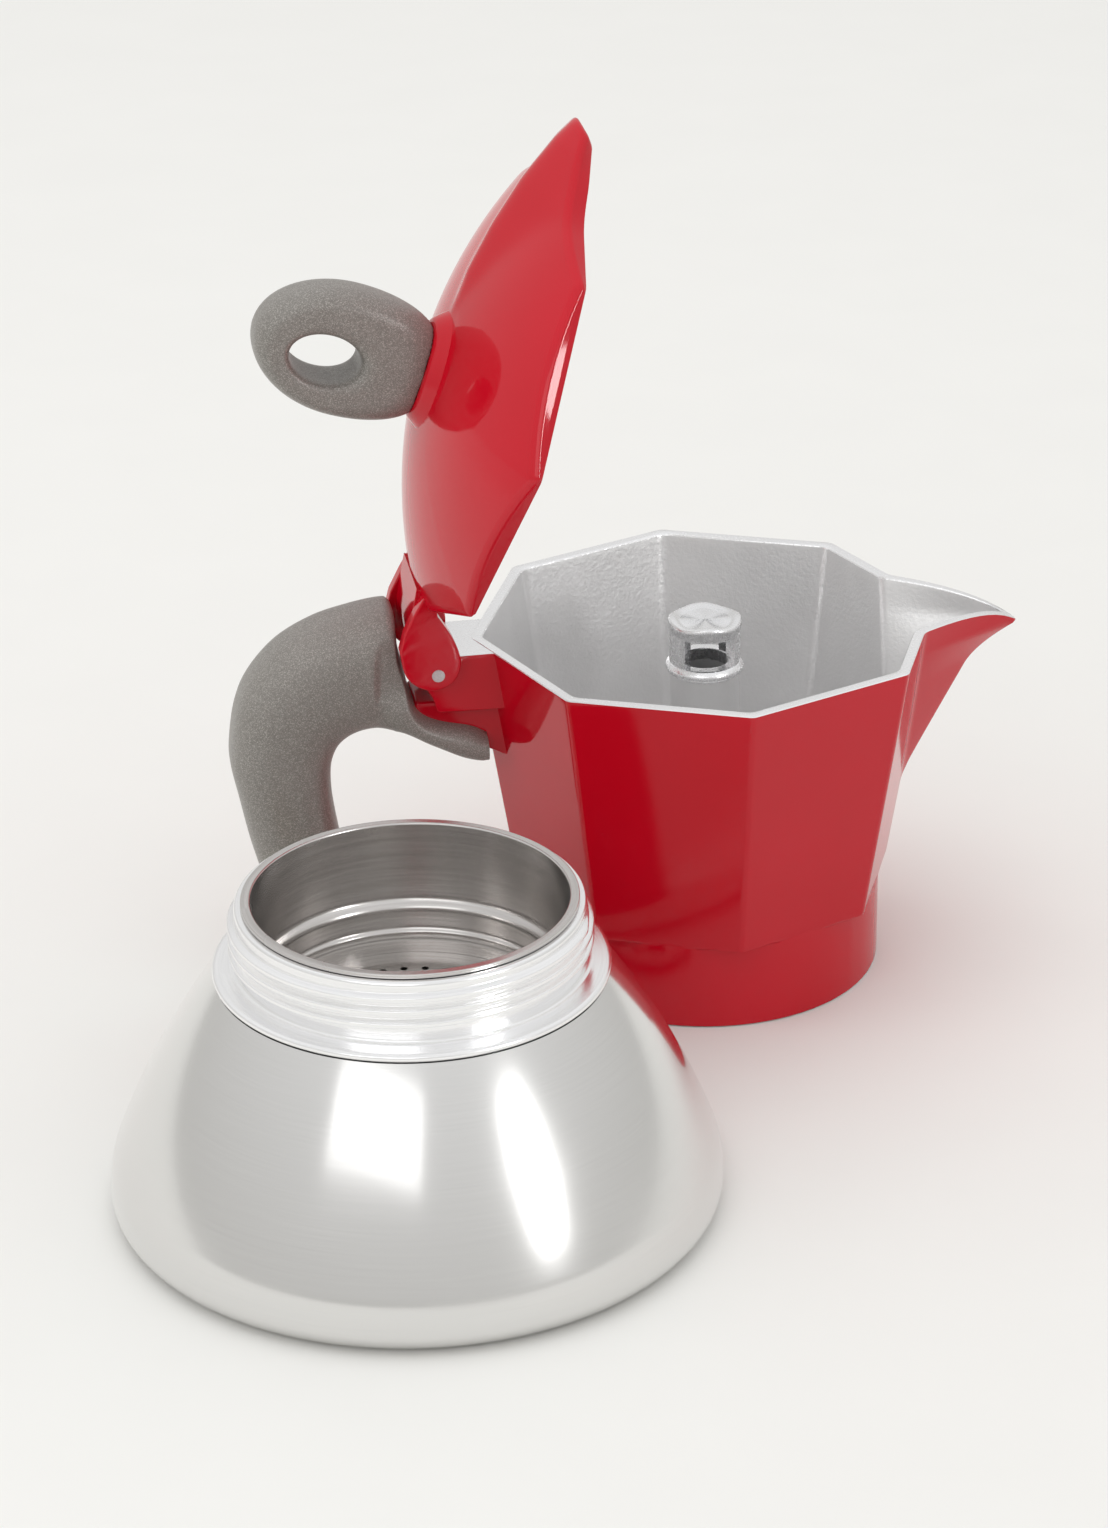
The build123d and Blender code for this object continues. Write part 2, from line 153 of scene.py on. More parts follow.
def flowing(points: list[tuple[float, ...]], count: int) -> np.ndarray:
    """Draws a smooth curve through points, evenly spaced along its length.

    Between two points the curve is the cubic whose slope at each is half the step from the point
    before it to the point after it.

    Args:
        points: the points to pass through.
        count: how many points to return.

    Returns:
        An array of count points.
    """
    knots = np.array(points, float)
    padded = np.vstack([2 * knots[0] - knots[1], knots, 2 * knots[-1] - knots[-2]])
    t = np.linspace(0, 1, 24, endpoint=False)[None, :, None]
    a, b, c, d = (padded[i : len(padded) - 3 + i][:, None] for i in range(4))
    curve = 0.5 * (
        2 * b + (c - a) * t + (2 * a - 5 * b + 4 * c - d) * t**2 + (3 * b - a - 3 * c + d) * t**3
    )
    dense = np.vstack([curve.reshape(-1, knots.shape[1]), knots[-1:]])
    run = np.concatenate([[0], np.cumsum(np.linalg.norm(np.diff(dense, axis=0), axis=1))])
    wanted = np.linspace(0, run[-1], count)
    return np.stack([np.interp(wanted, run, dense[:, k]) for k in range(dense.shape[1])], 1)


def signed_power(values: np.ndarray, power: float | np.ndarray) -> np.ndarray:
    """Returns |value|^power with each value's own sign."""
    return np.sign(values) * np.abs(values) ** power


def eased(share: np.ndarray) -> np.ndarray:
    """Returns 3 s^2 - 2 s^3, which leaves 0 and reaches 1 without a kink."""
    return share * share * (3 - 2 * share)


def turned(outline: np.ndarray, centre: np.ndarray, columns: int = COLUMNS) -> np.ndarray:
    """Spins an outline of (radius, height) rows about an upright axis.

    x = cx + r cos a, y = cy + r sin a, z = height, for evenly spaced angles a.

    Args:
        outline: (rows, 2) radii and heights.
        centre: x and y of the axis.
        columns: how many angles.

    Returns:
        A (rows, columns, 3) grid.
    """
    angle = np.arange(columns) * 2 * math.pi / columns
    radius, height = outline[:, :1], outline[:, 1:]
    x = centre[0] + radius * np.cos(angle)
    y = centre[1] + radius * np.sin(angle)
    return np.stack([x, y, np.broadcast_to(height, x.shape)], -1)


def grid_faces(rows: int, columns: int, joined: bool) -> np.ndarray:
    """Returns the four corner numbers of each face of a grid that wraps along its columns."""
    r = np.arange(rows if joined else rows - 1)[:, None]
    c = np.arange(columns)[None, :]
    r2, c2 = (r + 1) % rows, (c + 1) % columns
    corners = [r * columns + c, r * columns + c2, r2 * columns + c2, r2 * columns + c]
    return np.stack([np.broadcast_to(k, (r.size, columns)) for k in corners], -1).reshape(-1, 4)


def volume_of(points: np.ndarray, faces: np.ndarray) -> float:
    """Returns the signed volume: a sixth of the sum of a . (b x c) over the faces' triangles."""
    a, b, c, d = (points[faces[:, k]] for k in range(4))
    first = np.einsum("ij,ij->i", a, np.cross(b, c))
    second = np.einsum("ij,ij->i", a, np.cross(c, d))
    return float((first + second).sum() / 6)


def piece(
    name: str,
    grid: np.ndarray,
    ends: Ends,
    body: str,
    materials: list[bpy.types.Material],
    bands: np.ndarray | None = None,
    crease_deg: float = 35.0,
) -> bpy.types.Object:
    """Makes a closed piece from a grid of points and puts it on its body.

    Args:
        name: the piece's name.
        grid: (rows, columns, 3) points in millimetres, wrapping along the columns.
        ends: whether the last row joins the first, or each end closes on its middle point.
        body: the CAD body it rides on.
        materials: the finishes; bands picks among them.
        bands: for each row, the number of the finish used between it and the next row.
        crease_deg: edges sharper than this stay sharp.

    Returns:
        The piece.
    """
    rows, columns = grid.shape[:2]
    points = grid.reshape(-1, 3)
    joined = ends is Ends.JOINED
    faces = grid_faces(rows, columns, joined)
    rows_of_faces = np.repeat(np.arange(rows if joined else rows - 1), columns)
    if not joined:
        around = np.arange(columns)
        last = (rows - 1) * columns
        first_pole = np.full(columns, len(points))
        last_pole = first_pole + 1
        points = np.vstack([points, grid[0].mean(0), grid[-1].mean(0)])
        nxt = (around + 1) % columns
        low = np.stack([first_pole, first_pole, nxt, around], -1)
        high = np.stack([last + around, last + nxt, last_pole, last_pole], -1)
        faces = np.vstack([faces, low, high])
        rows_of_faces = np.concatenate(
            [rows_of_faces, np.zeros(columns, int), np.full(columns, rows - 1)]
        )
    if volume_of(points, faces) < 0:
        faces = faces[:, ::-1]
    return finished(name, points, faces, body, materials, rows_of_faces, bands, crease_deg)


def finished(
    name: str,
    points: np.ndarray,
    faces: np.ndarray,
    body: str,
    materials: list[bpy.types.Material],
    rows_of_faces: np.ndarray,
    bands: np.ndarray | None,
    crease_deg: float,
) -> bpy.types.Object:
    """Turns points and faces into an object with smooth shading, materials and body.

    Args:
        name: the piece's name.
        points: (n, 3) points in millimetres.
        faces: (m, 4) corner numbers; a repeated corner makes a triangle.
        body: the CAD body it rides on.
        materials: the finishes.
        rows_of_faces: the grid row of each face.
        bands: finish number of each row, or None.
        crease_deg: edges sharper than this stay sharp.

    Returns:
        The object.
    """
    corner_lists = [list(dict.fromkeys(face)) for face in faces.tolist()]
    mesh = bpy.data.meshes.new(name)
    mesh.from_pydata((points * METRES).tolist(), [], corner_lists)
    for material in materials:
        mesh.materials.append(material)
    if bands is not None:
        mesh.polygons.foreach_set("material_index", np.asarray(bands)[rows_of_faces].astype(int))
    mesh.shade_smooth()
    mesh.set_sharp_from_angle(angle=math.radians(crease_deg))
    mesh.update()
    made = bpy.data.objects.new(name, mesh)
    bpy.context.scene.collection.objects.link(made)
    even = made.modifiers.new("even_normals", "WEIGHTED_NORMAL")
    even.keep_sharp = True
    even.weight = NORMAL_WEIGHT
    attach(made, body)
    log.info("piece %s: %d faces on %s", name, len(corner_lists), body)
    return made


def slab(
    outline: np.ndarray, low_y: float, high_y: float, soft: float, rows: int = 0
) -> np.ndarray:
    """Carries an (x, z) outline along Y into a plate with softened edges.

    Rows go from one face to the other; near each face the outline shrinks towards its middle by
    soft x (1 - sin t) while y runs soft x (1 - cos t) into the plate.

    Args:
        outline: (columns, 2) outline.
        low_y: one face.
        high_y: the other face.
        soft: size of the softened edge.
        rows: further rows between the two softened edges.

    Returns:
        A (rows, columns, 3) grid.
    """
    middle = outline.mean(0)
    toward = middle - outline
    toward /= np.linalg.norm(toward, axis=1, keepdims=True)
    turn = np.linspace(0, math.pi / 2, 5)
    edge = soft * (1 - np.sin(turn))
    step = soft * (1 - np.cos(turn))
    shrink = np.concatenate([[3.0 * soft], edge, np.zeros(rows), edge[::-1], [3.0 * soft]])
    between_y = np.linspace(low_y + soft, high_y - soft, rows + 2)[1:-1]
    along = np.concatenate([[low_y], low_y + step, between_y, high_y - step[::-1], [high_y]])
    flat = outline[None] + toward[None] * shrink[:, None, None]
    y = np.broadcast_to(along[:, None], flat.shape[:2])
    return np.stack([flat[..., 0], y, flat[..., 1]], -1)


# ---- shader groups and finishes --------------------------------------------------------------
@dataclass
class Wiring:
    """Adds nodes to a tree and joins their sockets."""

    tree: bpy.types.NodeTree

    def add(self, kind: str, **settings: object) -> bpy.types.Node:
        """Adds a node; a setting named after an input fills it, any other sets a property."""
        node = self.tree.nodes.new(kind)
        for key, value in settings.items():
            label = key.replace("_", " ")
            if label in node.inputs.keys():
                node.inputs[label].default_value = value
            else:
                setattr(node, key, value)
        return node

    def join(self, source: bpy.types.NodeSocket, target: bpy.types.NodeSocket) -> None:
        """Joins two sockets."""
        self.tree.links.new(source, target)

    def maths(self, kind: str, a: object, b: object) -> bpy.types.NodeSocket:
        """Returns the result of a Math node on two sockets or numbers."""
        node = self.tree.nodes.new("ShaderNodeMath")
        node.operation = kind
        for index, value in enumerate((a, b)):
            if isinstance(value, (int, float)):
                node.inputs[index].default_value = value
            else:
                self.join(value, node.inputs[index])
        return node.outputs[0]


def new_group(
    name: str, inputs: list[tuple[str, str, float]], outputs: list[tuple[str, str]]
) -> tuple[bpy.types.NodeTree, bpy.types.Node, bpy.types.Node]:
    """Makes a shader node group with named sockets.

    Args:
        name: the group's name.
        inputs: (name, socket type, default) of each input.
        outputs: (name, socket type) of each output.

    Returns:
        The group, its input node and its output node.
    """
    group = bpy.data.node_groups.new(name, "ShaderNodeTree")
    for label, kind, default in inputs:
        socket = group.interface.new_socket(label, in_out="INPUT", socket_type=kind)
        socket.default_value = default
    for label, kind in outputs:
        group.interface.new_socket(label, in_out="OUTPUT", socket_type=kind)
    return group, group.nodes.new("NodeGroupInput"), group.nodes.new("NodeGroupOutput")


FLOAT, VECTOR = "NodeSocketFloat", "NodeSocketVector"
NOISE_RANGE = (0.3, 0.7)


def grain_group() -> bpy.types.NodeTree:
    """Group: cast or moulded grain, with a tone that drifts and a fine bumpy normal."""
    group, entry, leave = new_group(
        "skin_grain",
        [("Size", FLOAT, 900.0), ("Depth", FLOAT, 0.1), ("Drift size", FLOAT, 30.0)],
        [("Tone", FLOAT), ("Grain", FLOAT), ("Normal", VECTOR)],
    )
    w = Wiring(group)
    place = w.add("ShaderNodeTexCoord")
    fine = w.add("ShaderNodeTexNoise", Detail=3.0, Roughness=0.55)
    drift = w.add("ShaderNodeTexNoise", Detail=2.0, Roughness=0.5)
    bump = w.add("ShaderNodeBump", Distance=0.0004)
    w.join(place.outputs["Object"], fine.inputs["Vector"])
    w.join(place.outputs["Object"], drift.inputs["Vector"])
    w.join(entry.outputs["Size"], fine.inputs["Scale"])
    w.join(entry.outputs["Drift size"], drift.inputs["Scale"])
    w.join(entry.outputs["Depth"], bump.inputs["Strength"])
    w.join(fine.outputs["Fac"], bump.inputs["Height"])
    w.join(drift.outputs["Fac"], leave.inputs["Tone"])
    w.join(fine.outputs["Fac"], leave.inputs["Grain"])
    w.join(bump.outputs["Normal"], leave.inputs["Normal"])
    return group


def turning_group() -> bpy.types.NodeTree:
    """Group: fine lines round an upright axis, as a lathe or a polishing wheel leaves them."""
    group, entry, leave = new_group(
        "turning_lines",
        [("Axis x", FLOAT, 0.0), ("Axis y", FLOAT, 0.0), ("Size", FLOAT, 2500.0), ("Depth", FLOAT, 0.1)],
        [("Lines", FLOAT), ("Normal", VECTOR)],
    )
    w = Wiring(group)
    place = w.add("ShaderNodeTexCoord")
    split = w.add("ShaderNodeSeparateXYZ")
    w.join(place.outputs["Object"], split.inputs[0])
    dx = w.maths("SUBTRACT", split.outputs["X"], entry.outputs["Axis x"])
    dy = w.maths("SUBTRACT", split.outputs["Y"], entry.outputs["Axis y"])
    angle = w.maths("MULTIPLY", w.maths("ARCTAN2", dy, dx), 0.0006)
    squares = w.maths("ADD", w.maths("MULTIPLY", dx, dx), w.maths("MULTIPLY", dy, dy))
    radius = w.maths("SQRT", squares, 0.0)
    round_about = w.add("ShaderNodeCombineXYZ")
    w.join(radius, round_about.inputs["X"])
    w.join(split.outputs["Z"], round_about.inputs["Z"])
    w.join(angle, round_about.inputs["Y"])
    lines = w.add("ShaderNodeTexNoise", Detail=4.0, Roughness=0.65)
    w.join(round_about.outputs[0], lines.inputs["Vector"])
    w.join(entry.outputs["Size"], lines.inputs["Scale"])
    bump = w.add("ShaderNodeBump", Distance=0.0002)
    w.join(entry.outputs["Depth"], bump.inputs["Strength"])
    w.join(lines.outputs["Fac"], bump.inputs["Height"])
    w.join(lines.outputs["Fac"], leave.inputs["Lines"])
    w.join(bump.outputs["Normal"], leave.inputs["Normal"])
    return group


def fleck_group() -> bpy.types.NodeTree:
    """Group: metal flecks scattered through plastic, with a fine satin texture."""
    group, entry, leave = new_group(
        "metal_fleck",
        [("Fleck size", FLOAT, 6500.0), ("Texture size", FLOAT, 2600.0), ("Depth", FLOAT, 0.15)],
        [("Fleck", FLOAT), ("Tone", FLOAT), ("Normal", VECTOR)],
    )
    w = Wiring(group)
    place = w.add("ShaderNodeTexCoord")
    cells = w.add("ShaderNodeTexVoronoi")
    fine = w.add("ShaderNodeTexNoise", Detail=3.0, Roughness=0.6)
    drift = w.add("ShaderNodeTexNoise", Scale=55.0, Detail=2.0)
    bump = w.add("ShaderNodeBump", Distance=0.0003)
    for node in (cells, fine, drift):
        w.join(place.outputs["Object"], node.inputs["Vector"])
    w.join(entry.outputs["Fleck size"], cells.inputs["Scale"])
    w.join(entry.outputs["Texture size"], fine.inputs["Scale"])
    w.join(entry.outputs["Depth"], bump.inputs["Strength"])
    w.join(fine.outputs["Fac"], bump.inputs["Height"])
    shade = w.add("ShaderNodeSeparateColor")
    w.join(cells.outputs["Color"], shade.inputs[0])
    w.join(w.maths("POWER", shade.outputs[0], 3.0), leave.inputs["Fleck"])
    w.join(drift.outputs["Fac"], leave.inputs["Tone"])
    w.join(bump.outputs["Normal"], leave.inputs["Normal"])
    return group


GROUPS = {"grain": grain_group(), "turning": turning_group(), "fleck": fleck_group()}


def start_material(name: str) -> tuple[bpy.types.Material, Wiring, bpy.types.Node]:
    """Returns an empty material, its wiring and its Principled shader."""
    material = bpy.data.materials.new(name)
    material.use_nodes = True
    wiring = Wiring(material.node_tree)
    return material, wiring, material.node_tree.nodes["Principled BSDF"]


def use_group(wiring: Wiring, name: str, **values: float) -> bpy.types.Node:
    """Returns a node that uses one of the shared groups with its own values."""
    node = wiring.tree.nodes.new("ShaderNodeGroup")
    node.node_tree = GROUPS[name]
    for key, value in values.items():
        node.inputs[key.replace("_", " ")].default_value = value
    return node


def between(
    wiring: Wiring, amount: bpy.types.NodeSocket, low: tuple[float, ...], high: tuple[float, ...]
) -> bpy.types.NodeSocket:
    """Returns a colour that runs from low to high as the amount crosses the noise's range."""
    ramp = wiring.tree.nodes.new("ShaderNodeValToRGB")
    for stop, place, colour in zip(ramp.color_ramp.elements, NOISE_RANGE, (low, high)):
        stop.position = place
        stop.color = (*colour, 1.0)
    wiring.join(amount, ramp.inputs["Fac"])
    return ramp.outputs["Color"]


def ranged(
    wiring: Wiring, amount: bpy.types.NodeSocket, low: float, high: float
) -> bpy.types.NodeSocket:
    """Returns a value that runs from low to high as the amount crosses the noise's range."""
    node = wiring.tree.nodes.new("ShaderNodeMapRange")
    limits = (*NOISE_RANGE, low, high)
    for label, value in zip(("From Min", "From Max", "To Min", "To Max"), limits):
        node.inputs[label].default_value = value
    wiring.join(amount, node.inputs["Value"])
    return node.outputs["Result"]


@dataclass(frozen=True)
class TurnedMetal:
    """Metal finished on a lathe or a wheel about one upright axis."""

    name: str
    dark: Colour
    light: Colour
    rough: tuple[float, float]
    axis: tuple[float, float] = (0.0, 0.0)
    line_size: float = 2500.0
    line_depth: float = 0.1
    coat: float = 0.0
    coat_rough: float = 0.03

    def make(self) -> bpy.types.Material:
        """Returns the material: lines vary the colour and roughness and stand in the normal."""
        material, w, shader = start_material(self.name)
        lines = use_group(w, "turning", Size=self.line_size, Depth=self.line_depth)
        lines.inputs["Axis x"].default_value = self.axis[0] * METRES
        lines.inputs["Axis y"].default_value = self.axis[1] * METRES
        grain = use_group(w, "grain", Size=700.0, Depth=0.0)
        shader.inputs["Metallic"].default_value = 1.0
        shader.inputs["Coat Weight"].default_value = self.coat
        shader.inputs["Coat Roughness"].default_value = self.coat_rough
        w.join(between(w, lines.outputs["Lines"], self.dark, self.light), shader.inputs["Base Color"])
        w.join(ranged(w, grain.outputs["Tone"], *self.rough), shader.inputs["Roughness"])
        w.join(lines.outputs["Normal"], shader.inputs["Normal"])
        return material


@dataclass(frozen=True)
class CastMetal:
    """Cast or tumbled metal with a fine grain."""

    name: str
    dark: Colour
    light: Colour
    rough: tuple[float, float]
    grain_size: float = 900.0
    grain_depth: float = 0.15
    drift_size: float = 30.0
    metal: float = 1.0

    def make(self) -> bpy.types.Material:
        """Returns the material: a drifting tone over a fine grain."""
        material, w, shader = start_material(self.name)
        grain = use_group(w, "grain", Size=self.grain_size, Depth=self.grain_depth)
        grain.inputs["Drift size"].default_value = self.drift_size
        shader.inputs["Metallic"].default_value = self.metal
        w.join(between(w, grain.outputs["Tone"], self.dark, self.light), shader.inputs["Base Color"])
        w.join(ranged(w, grain.outputs["Grain"], *self.rough), shader.inputs["Roughness"])
        w.join(grain.outputs["Normal"], shader.inputs["Normal"])
        return material


@dataclass(frozen=True)
class Enamel:
    """Glossy enamel sprayed over a casting, with a slight orange peel."""

    name: str
    dark: Colour
    light: Colour
    peel_size: float = 260.0
    peel_depth: float = 0.05

    def make(self) -> bpy.types.Material:
        """Returns the material: enamel under a clear glossy coat."""
        material, w, shader = start_material(self.name)
        grain = use_group(w, "grain", Size=self.peel_size, Depth=self.peel_depth)
        shader.inputs["Specular IOR Level"].default_value = 0.0
        shader.inputs["Coat Weight"].default_value = 0.85
        shader.inputs["Coat Roughness"].default_value = 0.06
        w.join(between(w, grain.outputs["Tone"], self.dark, self.light), shader.inputs["Base Color"])
        w.join(ranged(w, grain.outputs["Grain"], 0.3, 0.4), shader.inputs["Roughness"])
        w.join(grain.outputs["Normal"], shader.inputs["Normal"])
        return material


@dataclass(frozen=True)
class FleckedPlastic:
    """Satin plastic with metal flecks in it."""

    name: str
    dark: Colour
    light: Colour
    fleck: Colour

    def make(self) -> bpy.types.Material:
        """Returns the material: flecks lighten and shine in a satin body."""
        material, w, shader = start_material(self.name)
        flecks = use_group(w, "fleck")
        body = between(w, flecks.outputs["Tone"], self.dark, self.light)
        mix = w.tree.nodes.new("ShaderNodeMix")
        mix.data_type = "RGBA"
        w.join(flecks.outputs["Fleck"], mix.inputs["Factor"])
        for socket in mix.inputs:
            if socket.name == "A" and socket.type == "RGBA":
                w.join(body, socket)
            if socket.name == "B" and socket.type == "RGBA":
                socket.default_value = (*self.fleck, 1.0)
        w.join(next(s for s in mix.outputs if s.type == "RGBA"), shader.inputs["Base Color"])
        w.join(w.maths("MULTIPLY", flecks.outputs["Fleck"], 0.3), shader.inputs["Metallic"])
        w.join(ranged(w, flecks.outputs["Tone"], 0.36, 0.44), shader.inputs["Roughness"])
        w.join(flecks.outputs["Normal"], shader.inputs["Normal"])
        return material


@dataclass(frozen=True)
class Rubber:
    """Moulded rubber or pressed fibre, dull and slightly mottled."""

    name: str
    dark: Colour
    light: Colour

    def make(self) -> bpy.types.Material:
        """Returns the material: a dull mottled body with a fine grain."""
        material, w, shader = start_material(self.name)
        grain = use_group(w, "grain", Size=1400.0, Depth=0.25)
        w.join(between(w, grain.outputs["Tone"], self.dark, self.light), shader.inputs["Base Color"])
        w.join(ranged(w, grain.outputs["Grain"], 0.6, 0.8), shader.inputs["Roughness"])
        w.join(grain.outputs["Normal"], shader.inputs["Normal"])
        return material


# ---- where things stand ----------------------------------------------------------------------
COLLECTOR_AXIS = centre_of("column_cap")[:2]
BOILER_AXIS = centre_of("strainer_plate")[:2]
COLLECTOR_X, COLLECTOR_Y = float(COLLECTOR_AXIS[0]), float(COLLECTOR_AXIS[1])
HINGE = centre_of("hinge_pin")
LID_OPEN = math.radians(joint_range_deg("lid_hinge"))


def at_collector(grid: np.ndarray) -> np.ndarray:
    """Moves points from the collector's own axis to where it stands."""
    return grid + np.array([COLLECTOR_X, COLLECTOR_Y, 0.0])


def opened(grid: np.ndarray) -> np.ndarray:
    """Swings points of the closed lid back about the hinge, then moves them into place.

    With d the offset from the hinge: x = hx + dx cos a - dz sin a, z = hz + dx sin a + dz cos a.

    Args:
        grid: points about the collector's own axis, lid closed.

    Returns:
        The points with the lid open, in place.
    """
    x = grid[..., 0] + COLLECTOR_X - HINGE[0]
    z = grid[..., 2] - HINGE[2]
    c, s = math.cos(LID_OPEN), math.sin(LID_OPEN)
    return np.stack(
        [HINGE[0] + x * c - z * s, grid[..., 1] + COLLECTOR_Y, HINGE[2] + x * s + z * c], -1
    )


def arc(centre: tuple[float, float], radius: float, start: float, end: float, count: int) -> np.ndarray:
    """Returns points of a circular arc between two angles in degrees."""
    a = np.radians(np.linspace(start, end, count))
    return np.stack([centre[0] + radius * np.cos(a), centre[1] + radius * np.sin(a)], 1)


# ---- boiler ----------------------------------------------------------------------------------
@dataclass
class Boiler:
    """Polished dome over an aluminium vessel with a threaded neck."""

    shell_finish: bpy.types.Material
    neck_finish: bpy.types.Material
    widest_r: float = 58.3
    foot_round: float = 4.5
    low_arc_r: float = 20.0
    low_arc_deg: float = 21.0
    high_arc_r: float = 157.0
    top_z: float = 48.3
    wall: float = 0.9
    lip_r: float = 35.6
    flange_r: float = 37.2
    neck_root_r: float = 32.7
    neck_bore_r: float = 30.6
    crest_r: float = 34.0
    pitch: float = 2.6
    thread_start_z: float = 51.0
    turns: int = 3
    fade_deg: float = 25.0
    rim_z: float = 62.3

    def dome(self, inset: float, rows: int) -> np.ndarray:
        """Outline of the dome, moved inwards: foot arc, low arc and high arc, tangent in turn.

        Args:
            inset: how far inside the outer skin.
            rows: points along the high arc.

        Returns:
            (n, 2) radii and heights from the foot's middle up to the lip.
        """
        turn = math.radians(self.low_arc_deg)
        offset = self.low_arc_r - self.high_arc_r
        low = (self.widest_r - self.low_arc_r, self.foot_round)
        high = (low[0] + offset * math.cos(turn), low[1] + offset * math.sin(turn))
        top_deg = math.degrees(math.asin((self.top_z - high[1]) / self.high_arc_r))
        foot = (self.widest_r - self.foot_round, self.foot_round)
        flat = np.stack([np.linspace(1.0, foot[0] - 0.5, 8), np.full(8, inset)], 1)
        return np.vstack([
            flat,
            arc(foot, self.foot_round - inset, -90, 0, 9)[:-1],
            arc(low, self.low_arc_r - inset, 0, self.low_arc_deg, 10)[:-1],
            arc(high, self.high_arc_r - inset, self.low_arc_deg, top_deg, rows),
        ])

    def shell(self) -> None:
        """Makes the polished dome, a thin wall whose lip turns in under the flange."""
        outer, inner = self.dome(0, 60), self.dome(self.wall, 30)
        lip = np.array([[self.lip_r + 0.6, self.top_z - 0.05], [self.lip_r, self.top_z - 0.35]])
        inner = inner[inner[:, 1] < self.top_z - 1.2]
        outline = np.vstack([outer, lip, inner[::-1]])
        made = piece(
            "dome_shell", turned(outline, BOILER_AXIS, 256), Ends.CLOSED, "boiler",
            [self.shell_finish],
        )
        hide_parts("boiler_shell")

    def thread(self, rows: int, columns: int) -> tuple[np.ndarray, np.ndarray]:
        """Radius and height of the neck's outside, with one helical ridge.

        With u = (z - start) / pitch - a / 360, the ridge stands where u mod 1 is near a half, for
        whole turns 0, 1 and 2, and fades in and out over 25 degrees at its two ends.

        Args:
            rows: how many heights.
            columns: how many angles.

        Returns:
            Radii and heights, each (rows, columns).
        """
        z = np.linspace(self.thread_start_z - 0.4, self.rim_z - 0.7, rows)[:, None]
        angle = np.arange(columns)[None, :] / columns
        u = (z - self.thread_start_z) / self.pitch - angle
        whole, part = np.floor(u), np.mod(u, 1.0)
        ridge = np.clip((0.74 - 2 * np.abs(part - 0.5)) / 0.5, 0, 1)
        ridge = eased(ridge)
        fade = 360 / self.fade_deg
        rise = np.clip(angle * fade, 0, 1) ** 2
        fall = np.clip((1 - angle) * fade, 0, 1) ** 2
        height = np.where(whole == 0, rise, np.where(whole == self.turns - 1, fall, 1.0))
        height = np.where((whole < 0) | (whole >= self.turns), 0.0, height)
        radius = self.neck_root_r + (self.crest_r - self.neck_root_r) * ridge * height
        return radius, np.broadcast_to(z, radius.shape)

    def vessel(self) -> None:
        """Makes the vessel: dome inside the shell, flange, threaded neck and bore."""
        outer = self.dome(self.wall + 0.1, 24)
        outer = outer[outer[:, 1] < 45.5]
        inner = self.dome(self.wall + 2.1, 24)
        inner = inner[inner[:, 1] < 44.0]
        r = self.flange_r
        below = np.array([
            [self.lip_r - 0.3, 46.4], [self.lip_r - 0.2, 48.4], [r - 0.9, 48.4], [r - 0.35, 48.5],
            [r - 0.06, 48.8], [r, 49.15], [r - 0.06, 49.55], [r - 0.4, 49.85], [r - 0.9, 49.95],
            [self.neck_root_r + 1.0, 50.0], [self.neck_root_r + 0.25, 50.15],
        ])
        rim = self.rim_z
        above = np.array([
            [self.neck_root_r - 0.05, rim - 0.5], [self.neck_root_r - 0.25, rim - 0.12],
            [self.neck_root_r - 0.55, rim], [self.neck_bore_r + 0.3, rim],
            [self.neck_bore_r + 0.06, rim - 0.1], [self.neck_bore_r, rim - 0.35],
            [self.neck_bore_r, 56.0], [self.neck_bore_r, 45.6], [self.neck_bore_r + 0.4, 45.2],
            [34.0, 45.0],
        ])
        radius, height = self.thread(96, COLUMNS)
        angle = np.arange(COLUMNS) * 2 * math.pi / COLUMNS
        x = BOILER_AXIS[0] + radius * np.cos(angle)
        y = BOILER_AXIS[1] + radius * np.sin(angle)
        grid = np.concatenate([
            turned(np.vstack([outer, below]), BOILER_AXIS),
            np.stack([x, y, height], -1),
            turned(np.vstack([above, inner[::-1]]), BOILER_AXIS),
        ])
        made = piece(
            "vessel_and_neck", grid, Ends.CLOSED, "boiler", [self.neck_finish],
            crease_deg=50.0,
        )
        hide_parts("boiler_vessel")

    def build(self) -> None:
        """Makes every new piece of the boiler."""
        self.shell()
        self.vessel()


